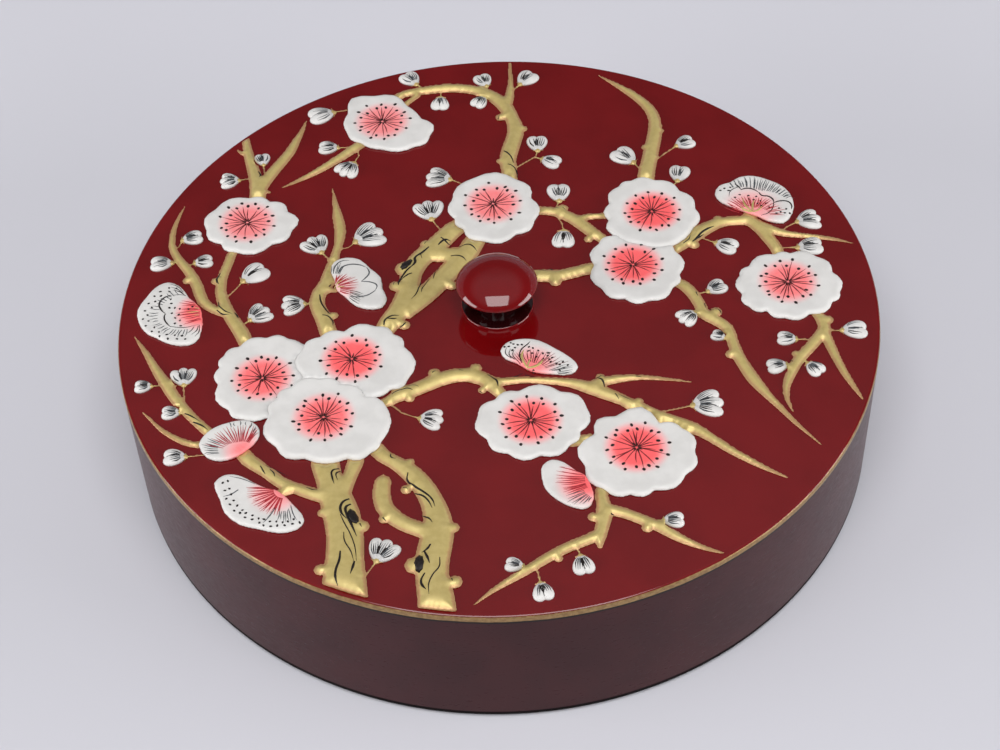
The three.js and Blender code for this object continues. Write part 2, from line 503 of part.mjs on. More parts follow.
// Each bough with its side limbs, its burls and the buds that it bears. Limbs that end under a
// blossom are cut off at its edge.
const boughs = {
  bough_front_left: [
    limb([
      [-58.5, -141, 17], [-58.5, -133, 15.5], [-58.5, -122, 13.5], [-58.5, -112, 13], [-60, -102, 13],
      [-62.5, -93, 11.5], [-64.8, -85, 9.5], [-66.5, -77, 10.5], [-67, -70, 10],
    ]),
    limb([[-61, -97, 6.5], [-58.6, -88.5, 5.5], [-56.6, -82, 5.5], [-53.2, -73, 5.5]]),
    limb([
      [-63, -95, 5.5], [-70, -91.8, 5.5], [-77, -88.5, 5], [-82.5, -85.5, 5], [-88, -80.3, 5],
      [-93, -76, 5.5], [-97, -71.5, 6], [-99, -66, 5],
    ]),
    limb([[-77, -88.8, 3.5], [-82, -90, 4], [-87, -92, 3]]),
    burl(-67, -126, 2.5),
    burl(-67, -100.5, 2),
    burl(-52.5, -107.5, 2.8),
    bud(-45, -119, 63, 11.5, [-50.5, -128.5], [-53, -132]),
  ],
  bough_front: [
    limb([
      [-26, -147, 13.5], [-26.3, -140, 12.5], [-27.5, -131, 11.5], [-27, -122, 12], [-25.3, -113, 11.5],
      [-25.2, -106, 10], [-27, -98, 8.5], [-30.5, -90, 8], [-35, -83.5, 7.5], [-40.5, -78.5, 6],
      [-45, -75, 6], [-49, -69, 6.5],
    ]),
    limb([
      [-27, -112, 7], [-34, -109, 6.5], [-40, -105, 6.5], [-44.5, -99, 6.5], [-45.5, -92, 6.5],
      [-45, -87, 6],
    ]),
    burl(-45, -87.2, 3),
    burl(-19.5, -110, 2.3),
    burl(-19.5, -134, 2.8),
    burl(-33.5, -126, 3.8),
    burl(-36.5, -91.5, 2.2),
    burl(-35, -78.5, 1.8),
    burl(-44.5, -104.5, 2.2),
  ],
  twig_low_left: [
    limb([
      [-109, -61.5, 4.5], [-114, -56, 4], [-119, -50, 4], [-124.5, -42, 4.5], [-129, -34, 4.5],
      [-133.5, -26, 3.5], [-137.5, -18, 2.5], [-143, -8.5, 0.5],
    ]),
    burl(-127, -34.5, 2.8),
    bud(-137.5, -35, 180, 7.5, [-130, -34.5]),
    bud(-122.3, -31, 95, 10, [-121, -43.5], [-123, -44.5]),
    bud(-125.8, -49, 180, 8, [-120, -49]),
  ],
  twig_lower_left: [
    limb([
      [-111.5, -65.5, 3.5], [-117, -65, 3], [-122, -62.5, 2.6], [-128, -58, 2], [-132, -53.5, 1.4],
      [-136.5, -48.3, 0.5],
    ]),
  ],
  bud_low_left: [bud(-122.8, -71, 180, 9.5, [-109, -71])],
  bough_left: [
    limb([
      [-97, -19, 6], [-100.8, -9.5, 6], [-105, -1.5, 5.5], [-108.3, 6, 5], [-110.3, 13.5, 4.5],
      [-110.3, 21, 4.3], [-108.4, 29, 4], [-106, 40, 4],
    ]),
    limb([
      [-106.5, 1, 4], [-112.5, 4.2, 4], [-117.2, 9, 4.5], [-119.8, 17, 4.7], [-123.8, 26, 4.2],
      [-129, 34, 3.6], [-132, 42, 3], [-131.6, 52, 2.2], [-130, 59, 1.4], [-128.2, 64.5, 0.5],
    ]),
    burl(-124.3, 21, 2),
    burl(-112.8, 20, 2),
    bud(-124, 45.5, 15, 9.5, [-129, 41], [-132, 38]),
    bud(-135.5, 31.5, 180, 10, [-129.5, 32]),
    bud(-118.5, 31.5, 10, 8.5, [-126.5, 28.5]),
    bud(-97.5, 23, 40, 13, [-104.5, 15], [-109, 9]),
    bud(-94.5, 0.5, 40, 10.5, [-103, -7]),
  ],
  bough_back_left: [
    limb([
      [-98, 60, 6.5], [-98, 70, 7], [-98.8, 77, 6], [-100.8, 85.5, 5], [-102.9, 94, 4.3],
      [-104.2, 101, 3.6], [-105.3, 108, 2.8],
    ]),
    limb([
      [-98, 71, 6], [-95, 78, 5.5], [-90, 87, 5], [-85.5, 95, 4.5], [-83, 102, 3.5],
      [-80.5, 109, 2], [-79, 115, 0.6],
    ]),
    limb([[-103, 94, 2.2], [-106, 96, 1.8], [-108, 98, 0.8]]),
    limb([[-97, 72, 2.5], [-94.5, 71.3, 1.8], [-92.5, 70.5, 0.8]]),
    bud(-97, 91.2, 100, 8, [-95, 77]),
    bud(-110.3, 79, 180, 9, [-101.5, 80]),
  ],
  bough_inner_left: [
    limb([
      [-66.5, -17, 6.5], [-67, -10, 6.8], [-69, -3, 6.5], [-71.5, 4, 6], [-71, 10, 6], [-68, 16, 6],
      [-66.8, 22, 5.4], [-65.5, 29, 3.8], [-63.8, 37, 3.6], [-63, 45, 4.6], [-64.3, 54, 4.2],
      [-65.3, 61, 2.6], [-66.8, 71.5, 0.5],
    ]),
    limb([[-69.5, 10, 2.5], [-66.5, 12, 2.5], [-61.5, 11.5, 2]]),
    burl(-64.8, -2, 2),
    burl(-66.2, 29, 2),
    bud(-73, 38, 120, 11.5, [-65.8, 27.5]),
    bud(-51.5, 42, 30, 14, [-59.5, 36], [-63, 35]),
    bud(-81, 4.8, 185, 10.5, [-72, 5]),
  ],
  bough_middle: [
    limb([
      [-46.5, -16, 7], [-43, -8, 8.5], [-39.5, -2, 8.8], [-36.5, 5, 9], [-35, 12, 8.5],
      [-34, 19, 8.5], [-31, 26, 9], [-26, 32, 9], [-21, 38, 8.8], [-16.5, 43.5, 8.5], [-10, 49.5, 8],
    ]),
    limb([
      [-38, -3, 8], [-33, 2, 8.5], [-28, 7.5, 9], [-23.5, 13, 9], [-19, 19, 9], [-14.5, 25, 9.5],
      [-10.5, 31, 9], [-6, 41, 8],
    ]),
    limb([[-27, 29.5, 8], [-20, 29, 8], [-13, 28.5, 8]]),
    burl(-40.3, 12.5, 2.8),
    burl(-28, 35.5, 2.5),
    burl(-18, 11.5, 2.5),
    burl(-37, -9, 2.5),
    burl(-36.5, 22, 4.2),
    bud(-26.5, 55.5, 100, 12.5, [-21, 42]),
  ],
  bough_back: [
    limb([
      [-44, 123, 3.5], [-40, 128, 3.6], [-33, 130.5, 4.5], [-26, 131.5, 5.2], [-18, 132.3, 5.5],
      [-10, 131.3, 5.5], [-3, 128.8, 5.8], [3, 124.3, 6.4], [7.5, 117.5, 6.5], [10, 110, 6],
      [11.3, 103, 7], [10, 96, 7], [8.3, 90, 7.2], [7, 83, 7], [7.6, 77, 6.5], [7, 66, 6.5],
    ]),
    limb([[-39.5, 118, 2.6], [-35, 124, 2.8], [-30, 128.8, 2.5]]),
    limb([[8.3, 119, 4], [9.5, 126, 4], [10.2, 133, 2.6], [10.3, 141, 1.7], [10.2, 149, 1.2]]),
    burl(5, 111.3, 2.3),
    burl(14.6, 103.3, 1.8),
    burl(3.8, 83.5, 1.6),
    bud(-33.8, 139.5, 125, 10.5, [-27.5, 132]),
    bud(-21, 122.5, 265, 9.5, [-20.5, 130.5]),
    bud(-3.7, 122.3, 235, 8.5, [-1, 127.5]),
    bud(-1.8, 136.3, 110, 9.5, [0, 128]),
    bud(17.3, 136.3, 50, 11, [10.3, 128]),
    bud(20, 93.5, 90, 10.5, [19, 85.5], [9, 78]),
    bud(25.2, 82, 335, 9.5, [18.3, 85.2]),
  ],
  bud_back_left: [bud(-72.5, 118.3, 195, 12.5, [-58, 122.5])],
  bud_back_middle: [bud(-22.3, 75, 165, 11.5, [-10, 70])],
  twig_back_left: [
    limb([
      [-51, 102, 5.2], [-56.8, 96.8, 5], [-63.5, 90.6, 4.4], [-70.3, 84.8, 3.8], [-77.5, 79.6, 2.8],
      [-83, 76.2, 1.8], [-88.2, 73.3, 0.5],
    ]),
    bud(-69, 97, 175, 9.5, [-59, 96.5]),
    bud(-60.5, 83, 235, 10.5, [-56, 91], [-57, 97]),
  ],
  bough_back_right: [
    limb([
      [64.5, 62, 7], [64.5, 70, 7], [66.5, 79, 6.5], [68.5, 88, 6.3], [70.5, 97, 6], [71, 105, 5.2],
      [69.5, 112, 4.8], [65.5, 119, 4.2], [60, 125.5, 3.4], [54.5, 131, 2], [49, 136.2, 0.5],
    ]),
    burl(65.6, 88, 1.8),
    burl(73, 98, 1.5),
    bud(56.5, 83, 130, 12.5, [62.8, 74]),
    bud(82.5, 89.8, 25, 9.5, [74.5, 84.5], [69.5, 80]),
  ],
  bud_back_right: [bud(78.5, 70.8, 75, 10.5, [72, 60])],
  bough_inner_right: [
    limb([
      [14.5, 52.5, 5], [20, 52.3, 4.8], [26, 50.8, 5], [31, 47.8, 5.5], [35.5, 43.5, 5.8],
      [39.5, 38.5, 5.5], [43.5, 34.5, 4.6], [48, 30, 4],
    ]),
    limb([[34, 46, 4], [39, 47.3, 3.5], [43, 47.5, 3.5], [50, 48, 3.5]]),
    burl(28.8, 53, 2.3),
    burl(38.2, 34.2, 2),
    bud(27.5, 62.5, 90, 11.5, [25.2, 52]),
    bud(28, 35.3, 265, 11, [27.8, 44.5], [25.5, 50]),
  ],
  bough_beside_knob: [
    limb([
      [13.6, 15, 6.4], [18, 14.8, 7], [24, 14.2, 6.4], [30, 15.4, 6], [35, 16.8, 5.8], [43, 19, 5.6],
    ]),
    burl(23.5, 11, 2.5),
  ],
  bough_right: [
    limb([
      [68, 23, 6], [75, 28.6, 6.2], [81, 33.3, 6.5], [87, 37.8, 6.3], [93, 40.6, 5.5], [99, 41, 5],
      [104.2, 40.8, 6], [108, 36.5, 6], [110.5, 31, 5.5], [113, 25, 5], [115.5, 15, 5],
    ]),
    limb([[104.2, 39, 6], [105, 44, 5.5], [105.5, 50, 4]]),
    limb([
      [105.5, 40, 5], [111, 36.3, 4.5], [116, 33, 4], [122, 31.3, 3.2], [129, 29.8, 2.6],
      [136, 28.2, 2], [141, 26.5, 1.2], [144.6, 25, 0.5],
    ]),
    burl(91.5, 42.8, 1.8),
    burl(80.5, 28.3, 2.4),
    bud(128.5, 39.7, 10, 11, [119.5, 36.5], [115.5, 33]),
    bud(93.5, 27, 335, 10.5, [84, 32]),
    bud(127, 24.5, 5, 11.5, [112.5, 24.5]),
  ],
  bough_low_right: [
    limb([
      [68.5, 11, 5], [74, 6, 5], [77.5, 0.5, 5], [79.6, -5.5, 4.8], [81, -10.8, 5], [85, -14, 5.2],
      [89, -18.5, 4.8], [90.2, -25, 4.4], [91.3, -32, 4.8], [93.5, -39, 4.8], [96.3, -46, 5],
      [100, -53, 3.6], [104.5, -60.3, 2.6], [109.5, -68.5, 1.8], [113.5, -74, 1.2], [117.4, -79.4, 0.5],
    ]),
    burl(85.5, -9.5, 2.5),
    burl(88.8, -32.3, 2.2),
    bud(87, 3.8, 30, 9.5, [78, 0.5]),
    bud(74.3, -11.5, 215, 9, [80, -7.5]),
    bud(85.3, -22.3, 150, 6.5, [90, -24]),
  ],
  fork_right: [
    limb([[122, -7, 4.5], [125.5, -14.5, 4.5], [126.6, -20, 5], [125.3, -25.5, 5]]),
    limb([
      [125.5, -23, 5], [120, -30, 4.5], [114.5, -36.5, 4.5], [110.8, -43, 4], [108, -50, 3],
      [107.6, -56.5, 2], [109, -62.8, 0.5],
    ]),
    limb([
      [126, -22, 4.5], [127.5, -30, 4], [129, -37, 3.5], [130.8, -44, 3], [133.2, -51, 2.2],
      [136.6, -59.8, 0.5],
    ]),
    burl(128.3, -16.5, 2.4),
    burl(113.8, -33.5, 1.8),
    bud(111.5, -25.3, 170, 8.5, [122.5, -26.5]),
    bud(138, -22.3, 0, 11, [127.5, -22]),
    bud(106, -39.3, 185, 9, [113, -38]),
    bud(120, -41.3, 310, 8.5, [115, -35]),
  ],
  bough_front_right: [
    limb([
      [-48.5, -51.5, 4.5], [-43, -48.2, 4.8], [-38, -44.8, 6.8], [-32, -42.6, 6.6], [-26, -39.5, 6.8],
      [-20, -37.2, 7], [-13.5, -36.5, 7], [-8, -38.4, 6.8], [-3, -40.8, 5], [3, -40.8, 3.8],
      [10, -40.6, 3.2], [18, -41.5, 3.6], [26, -43, 4.4], [33, -45.8, 6], [39.5, -49.3, 6],
      [46, -53.3, 5], [52.5, -57.3, 4.6], [58, -61.3, 5], [64, -64.5, 5.2], [71, -68.3, 5],
      [77, -73.5, 4], [83, -79.3, 3.4], [89.5, -84.6, 3], [96, -89.5, 2], [103, -94, 0.8],
    ]),
    limb([[-8, -38, 6], [-4.5, -42, 5.5], [-1, -46, 5], [3, -52, 4]]),
    limb([
      [34, -45, 4.5], [40, -43, 4.5], [47, -42, 3.6], [54, -42, 2.6], [62, -43.2, 1.8],
      [68, -44.4, 1.1], [72.7, -45.5, 0.5],
    ]),
    burl(-25.5, -35, 2.5),
    burl(-9.5, -33.5, 2.5),
    burl(-7.3, -44.8, 1.8),
    burl(-35, -47.3, 2),
    burl(38, -41, 2),
    burl(51.5, -54, 2),
    burl(70.5, -69.5, 1.8),
    bud(-27, -58.2, 350, 10, [-38, -54.3], [-43, -49]),
    bud(77.5, -56.7, 5, 13, [66, -58.5], [57.5, -60]),
  ],
  link_front: [limb([[22, -73, 4.6], [27.5, -72, 4.4], [33, -71, 4.6]])],
  twig_front_right: [
    limb([
      [37, -88, 4.5], [34.6, -96, 4.5], [34.8, -101, 5], [35.2, -106, 6], [34, -112, 5],
      [32.7, -117, 4.6], [32.5, -122.3, 1.2],
    ]),
    limb([
      [34, -115, 4.8], [28.5, -118, 4.6], [22, -120.6, 4.4], [15, -124.4, 4.2], [8, -129, 3.8],
      [1, -133.6, 3.2], [-6.5, -138.6, 2], [-13.3, -144.3, 0.6],
    ]),
    limb([
      [35.5, -104.5, 5], [42, -106.8, 4.6], [48, -110, 4.5], [54, -113.6, 4.5], [59.5, -118, 4],
      [65.5, -122, 2.8], [71, -124.8, 1.8], [76.8, -127, 0.8],
    ]),
    burl(31, -108, 2.2),
    burl(50, -114, 2.2),
    burl(17.5, -125.7, 1.8),
    bud(59.7, -111, 0, 8.5, [51.5, -111]),
    bud(26, -129, 280, 9.5, [24, -120]),
    bud(1.8, -127.8, 165, 7.5, [8, -129]),
    bud(11.2, -139.8, 280, 9, [9.5, -129]),
  ],
};

const lidFace = solidOf(
  turned([
    [0, BOX_HEIGHT],
    [RELIEF_LIMIT, BOX_HEIGHT],
    [RELIEF_LIMIT, BOX_HEIGHT + cutterTop],
    [0, BOX_HEIGHT + cutterTop],
  ]),
);

for (const [name, limbs] of Object.entries(boughs)) {
  const whole = limbs.reduce((solid, next) => solid.add(next));
  const cut = petalCutters.reduce((solid, cutter) => solid.subtract(cutter), whole);
  place(name, geometryOf(cut.intersect(lidFace)), gold);
}

export default group;
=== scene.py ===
# %% [markdown]
# # A lacquered candy box with a branch of blossoms
# The box is thin turned wood under many coats of lacquer. Its lid carries a branch in relief, built
# up in hardened paste, gilded on the wood of the branch and painted on the blossoms.
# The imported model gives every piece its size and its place. This script keeps those places and
# gives each piece its finish: it works in metres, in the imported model's own frame.

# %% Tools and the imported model
import math
import random

import bmesh
import bpy
import numpy as np
from mathutils import Matrix, Vector
from mathutils.bvhtree import BVHTree
from mathutils.kdtree import KDTree


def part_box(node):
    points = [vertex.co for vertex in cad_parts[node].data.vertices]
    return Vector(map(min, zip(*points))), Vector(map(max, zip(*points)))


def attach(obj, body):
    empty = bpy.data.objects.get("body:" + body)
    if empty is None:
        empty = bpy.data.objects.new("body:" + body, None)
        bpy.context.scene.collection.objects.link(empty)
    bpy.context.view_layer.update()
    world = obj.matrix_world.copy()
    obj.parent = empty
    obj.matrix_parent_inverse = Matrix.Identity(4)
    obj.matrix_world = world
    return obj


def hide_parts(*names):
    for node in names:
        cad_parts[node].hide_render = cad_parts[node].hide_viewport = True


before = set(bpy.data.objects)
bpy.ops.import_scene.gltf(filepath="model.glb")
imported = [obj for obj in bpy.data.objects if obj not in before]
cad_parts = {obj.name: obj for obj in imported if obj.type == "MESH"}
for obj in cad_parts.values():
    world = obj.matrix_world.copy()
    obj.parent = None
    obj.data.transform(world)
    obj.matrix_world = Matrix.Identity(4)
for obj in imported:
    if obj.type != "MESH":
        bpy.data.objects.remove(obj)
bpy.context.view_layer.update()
MM = 0.001

# %% [markdown]
# ## The camera
# The photograph looks down on the lid at about 49 degrees. A camera could be set by eye, but a lid
# is a true circle, so its outline says where the camera stood: the place, the lens and a small
# pitch and roll are what makes two circles, the lid's edge and the box's foot, fall where they do
# in the photograph. The camera looks at the origin first, and the small turns are made after that.

# %% Camera
IMAGE_WIDTH = 1000
FOCAL_LENGTH = 2050  # in pixels of the photograph
SENSOR_WIDTH = 36
CAMERA_PLACE = Vector((0, -0.5608, 0.6512))
CAMERA_YAW = 0.022
CAMERA_PITCH = 0.988
CAMERA_ROLL = -2.632


def linked(name, data):
    """A new object, put in the scene."""
    made = bpy.data.objects.new(name, data)
    bpy.context.collection.objects.link(made)
    return made


camera_data = bpy.data.cameras.new("photograph")
camera_data.sensor_width = SENSOR_WIDTH
camera_data.lens = FOCAL_LENGTH / IMAGE_WIDTH * SENSOR_WIDTH
camera = linked("photograph", camera_data)

aim = (-CAMERA_PLACE).to_track_quat("-Z", "Y").to_matrix()
small_turns = (
    Matrix.Rotation(math.radians(CAMERA_YAW), 3, "Y")
    @ Matrix.Rotation(math.radians(CAMERA_PITCH), 3, "X")
    @ Matrix.Rotation(math.radians(CAMERA_ROLL), 3, "Z")
)
camera.matrix_world = Matrix.Translation(CAMERA_PLACE) @ (aim @ small_turns).to_4x4()
bpy.context.scene.camera = camera
print("lens:", round(camera_data.lens, 1), "mm")

# %% [markdown]
# ## Mesh helpers
# A bmesh is a mesh that is being worked on. Short helpers turn it into a finished object that rides
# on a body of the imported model. A turned shape starts as a chain of edges, its section, which the
# spin operator carries round Z. A full spin has to merge its last ring with its first, or the shape
# stays open along a seam.

# %% From a bmesh to a piece
SHARP = math.radians(40)  # edges that turn more than this stay sharp in the shading


def mesh_of(name, bm):
    mesh = bpy.data.meshes.new(name)
    bm.to_mesh(mesh)
    bm.free()
    return mesh


def piece(name, bm, body, slot, materials, *replaced, sharp=None):
    """Makes a smooth-shaded object from a bmesh, and has it ride on a body. The slot is not used."""
    mesh = mesh_of(name, bm)
    mesh.shade_smooth()
    if sharp:
        mesh.set_sharp_from_angle(angle=sharp)
    for material in materials:
        mesh.materials.append(material)
    made = linked(name, mesh)
    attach(made, body)
    if replaced:
        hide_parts(*replaced)
    return made


# %% Turned shapes
LATHE_STEPS = 256
WELD = 1e-7
CLOSE = 1e-5


def turned(section, steps=LATHE_STEPS, closed=True):
    """Spins a section of points (radius, height), in millimetres, round the axis Z."""
    bm = bmesh.new()
    chain = [bm.verts.new((radius * MM, 0, height * MM)) for radius, height in section]
    links = list(zip(chain, chain[1:]))
    if closed:
        links.append((chain[-1], chain[0]))
    edges = [bm.edges.new(link) for link in links]
    turn = {"cent": (0, 0, 0), "axis": (0, 0, 1), "angle": 2 * math.pi}
    bmesh.ops.spin(bm, geom=chain + edges, steps=steps, use_merge=True, **turn)
    bmesh.ops.remove_doubles(bm, verts=bm.verts, dist=WELD)
    bmesh.ops.recalc_face_normals(bm, faces=bm.faces)
    return bm


def bevelled(bm, edges, width, segments):
    shape = {"affect": "EDGES", "profile": 0.5, "material": -1}
    bmesh.ops.bevel(bm, geom=edges, offset=width * MM, segments=segments, **shape)
    return bm


def round_off(bm, rings, width, segments=4):
    """Rounds the sharp circular edges that run through rings of (radius, height)."""

    def on_ring(vert, ring):
        here = Vector((vert.co.xy.length, vert.co.z))
        return (here - Vector(ring) * MM).length < CLOSE

    def follows(edge):
        return any(all(on_ring(vert, ring) for vert in edge.verts) for ring in rings)

    return bevelled(bm, [edge for edge in bm.edges if follows(edge)], width, segments)


# %% [markdown]
# ## Material helpers
# Every finish is a small graph of nodes. Writing each node out takes many lines, so one helper adds
# a node and fills or links its inputs, and the others stand for what is needed often. All noise
# stays fixed to the object, because it reads Object coordinates.

# %% Nodes in few words
def node(tree, kind, inputs=None, **settings):
    """Adds a node. An input's value is a constant or another node's output."""
    made = tree.nodes.new(kind)
    for key, value in settings.items():
        setattr(made, key, value)
    for key, value in (inputs or {}).items():
        socket = made.inputs[key]
        if isinstance(value, bpy.types.NodeSocket):
            tree.links.new(value, socket)
        else:
            socket.default_value = value
    return made


def blend(tree, share, below, above, mode="MIX"):
    """The colour above laid over the colour below by a share from 0 to 1."""
    mix = node(tree, "ShaderNodeMix", {0: share, 6: below, 7: above}, data_type="RGBA", blend_type=mode)
    return mix.outputs[2]


def maths(tree, operation, *values):
    """One step of arithmetic on numbers or outputs."""
    return node(tree, "ShaderNodeMath", dict(enumerate(values)), operation=operation).outputs[0]


def span(tree, value, low, high, to_low=0.0, to_high=1.0):
    """Turns the range from low to high into another one, with a smooth start and end."""
    inputs = {"Value": value, "From Min": low, "From Max": high, "To Min": to_low, "To Max": to_high}
    return node(tree, "ShaderNodeMapRange", inputs, interpolation_type="SMOOTHSTEP").outputs[0]


def pattern(tree, scale, detail=3.0, stretch=(1, 1, 1)):
    """Noise fixed to the object. Scale is in waves per metre."""
    place = node(tree, "ShaderNodeTexCoord").outputs["Object"]
    mapped = node(tree, "ShaderNodeMapping", {"Vector": place, "Scale": stretch}).outputs[0]
    inputs = {"Vector": mapped, "Scale": scale, "Detail": detail}
    return node(tree, "ShaderNodeTexNoise", inputs).outputs["Fac"]


def patches(tree, scale, detail):
    """Noise with more contrast, for a change between two colours."""
    return span(tree, pattern(tree, scale, detail), 0.3, 0.7)


def swing(tree, amount, scale, detail=3.0):
    """Noise that goes both ways from zero."""
    noise = maths(tree, "SUBTRACT", pattern(tree, scale, detail), 0.5)
    return maths(tree, "MULTIPLY", noise, amount)


def along(tree, axis):
    """One of the Object coordinates."""
    place = node(tree, "ShaderNodeTexCoord").outputs["Object"]
    return node(tree, "ShaderNodeSeparateXYZ", {0: place}).outputs[axis]


def bump(tree, height, strength, distance):
    inputs = {"Height": height, "Strength": strength, "Distance": distance * MM}
    return node(tree, "ShaderNodeBump", inputs).outputs[0]


def attribute(tree, name):
    return node(tree, "ShaderNodeAttribute", attribute_name=name).outputs["Fac"]


def finish_of(name, **constants):
    """A new material and its node tree, with constants on the shader's sockets."""
    material = bpy.data.materials.new(name)
    material.use_nodes = True
    shader = material.node_tree.nodes["Principled BSDF"]
    for key, value in constants.items():
        shader.inputs[key.replace("_", " ")].default_value = value
    return material, material.node_tree


def wired(material, colour, roughness=None, normal=None):
    """The material, with outputs linked to its shader."""
    tree = material.node_tree
    shader = tree.nodes["Principled BSDF"]
    for key, output in {"Base Color": colour, "Roughness": roughness, "Normal": normal}.items():
        if output is not None:
            tree.links.new(output, shader.inputs[key])
    return material


# %% [markdown]
# ## Lacquer
# Lacquer is a clear hard film over a deep colour, so the red is dark and saturated, and its gloss
# lies on top. The lid is polished to a mirror, while the wall keeps a satin sheen from the last
# rubbing. One shader with a low roughness does this: a faint mottling of the red and a very slight
# unevenness of the surface keep it from looking like plastic.

# %% Polished red lacquer on the lid and the knob
def polished_lacquer(name, thin, thick, speck):
    material, tree = finish_of(name, IOR=1.58)
    colour = blend(tree, patches(tree, 38, 5), thin, thick)
    specks = span(tree, pattern(tree, 2600, 1), 0.66, 0.74)
    rubbed = span(tree, pattern(tree, 260, 4), 0.3, 0.75, 0.035, 0.085)
    uneven = bump(tree, pattern(tree, 90, 2), 0.05, 0.05)
    return wired(material, blend(tree, specks, colour, speck), rubbed, uneven)


red_polished = polished_lacquer(
    "polished red lacquer",
    (0.134, 0.0014, 0.0022, 1),
    (0.16, 0.0026, 0.0036, 1),
    (0.152, 0.006, 0.008, 1),
)
# A near-black lacquer that paints the shade in the hollow under the knob's cap.
hollow_shade_polished = polished_lacquer(
    "polished lacquer with painted hollow shade",
    (0.012, 0.001, 0.0015, 1),
    (0.02, 0.0015, 0.002, 1),
    (0.024, 0.003, 0.003, 1),
)
print("made", red_polished.name, "and", hollow_shade_polished.name)

# %% [markdown]
# ## The wall of the lid
# The wall is satin red, painted darker than the lid's red lacquer as painted shade, since it faces
# away from the light above. Just under the lid's rounded edge runs a band of gold paint, with a thin
# dark line under it that is a painted shadow line. The band could be faces of its own, but the brush
# leaves soft, uneven edges, so both rings are painted by height in the material, with a little noise
# added to the height. The wall's foot is painted nearly black and dull, as a painted shadow of the gap
# under the skirt, so it is a finish of its own.

# %% Satin red lacquer with its gold band
BAND_LOW = 61.2
BAND_HIGH = 63.6
SHADOW_LINE_LOW = 60.2


def shaded_satin_lacquer():
    material, tree = finish_of("shaded satin red lacquer", IOR=1.5, Specular_IOR_Level=0.2)
    level = maths(tree, "ADD", along(tree, "Z"), swing(tree, 0.5 * MM, 140))

    def stripe(low, high, soft=0.15):
        rise = span(tree, level, (low - soft) * MM, (low + soft) * MM)
        fall = span(tree, level, (high - soft) * MM, (high + soft) * MM, 1.0, 0.0)
        return maths(tree, "MULTIPLY", rise, fall)

    # Darker than the lid's red: painted shade on a wall that faces away from the light above.
    red = blend(tree, patches(tree, 45, 4), (0.034, 0.006, 0.0075, 1), (0.044, 0.008, 0.0095, 1))
    # The thin dark line under the gold band is a painted shadow line.
    shadow_lined = blend(tree, stripe(SHADOW_LINE_LOW, BAND_LOW), red, (0.006, 0.003, 0.003, 1))
    gold = blend(tree, patches(tree, 700, 5), (0.24, 0.14, 0.06, 1), (0.36, 0.23, 0.1, 1))
    band = stripe(BAND_LOW, BAND_HIGH)
    shader = tree.nodes["Principled BSDF"]
    tree.links.new(maths(tree, "MULTIPLY", band, 0.4), shader.inputs["Metallic"])
    rubbed = pattern(tree, 320, 4, stretch=(1, 1, 6))
    gloss = span(tree, rubbed, 0.3, 0.7, 0.27, 0.38)
    return wired(material, blend(tree, band, shadow_lined, gold), gloss, bump(tree, rubbed, 0.08, 0.05))


def foot_shadow_lacquer():
    # Nearly black and dull: a painted shadow of the gap where the skirt stands over the floor.
    material, tree = finish_of("dull foot lacquer with painted shadow", IOR=1.4, Specular_IOR_Level=0.05)
    shadow_patches = patches(tree, 300, 4)
    colour = blend(tree, shadow_patches, (0.004, 0.003, 0.003, 1), (0.009, 0.005, 0.005, 1))
    return wired(material, colour, span(tree, shadow_patches, 0, 1, 0.5, 0.65))


shaded_red_satin = shaded_satin_lacquer()
painted_foot_shadow = foot_shadow_lacquer()

# %% [markdown]
# ## Black lacquer inside
# The inside of such a box is usually plain black lacquer, rubbed to a softer gloss than the lid.
# Brown pigment shows through where the film is thin.

# %% Black lacquer
def inner_lacquer():
    material, tree = finish_of("black inner lacquer", IOR=1.5)
    thin = span(tree, pattern(tree, 55, 5), 0.35, 0.7)
    colour = blend(tree, thin, (0.006, 0.005, 0.005, 1), (0.014, 0.009, 0.007, 1))
    rubbed = pattern(tree, 500, 3)
    gloss = span(tree, rubbed, 0.3, 0.7, 0.16, 0.3)
    return wired(material, colour, gloss, bump(tree, rubbed, 0.06, 0.05))


black_satin = inner_lacquer()

# %% [markdown]
# ## The lid
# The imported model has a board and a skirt, but lacquer covers the seam between them, so one turned
# shell stands for both. Its section has a few corners only. After the spin the sharp rings are
# rounded off with bevels. A ring of points beside each bevel keeps the flat faces flat, which a
# mirror finish needs. The finish of each face follows from where it lies.

# %% Lid shell
_, lid_top_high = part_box("lid_top")
skirt_low, skirt_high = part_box("lid_skirt")
LID_RADIUS = lid_top_high.x / MM
LID_FACE = lid_top_high.z / MM
LID_UNDERSIDE = skirt_high.z / MM
SKIRT_BOTTOM = skirt_low.z / MM
SKIRT_THICKNESS = 5
SKIRT_INSIDE = LID_RADIUS - SKIRT_THICKNESS
SCREW_HOLE = 2.4
EDGE_ROUNDING = 1.2
FOOT_ROUNDING = 1.2
# FOOT_HEIGHT is the height of the painted shadow line at the wall's foot.
FOOT_HEIGHT = 2.6  # of the dark line at the wall's foot
SUPPORT = 0.3

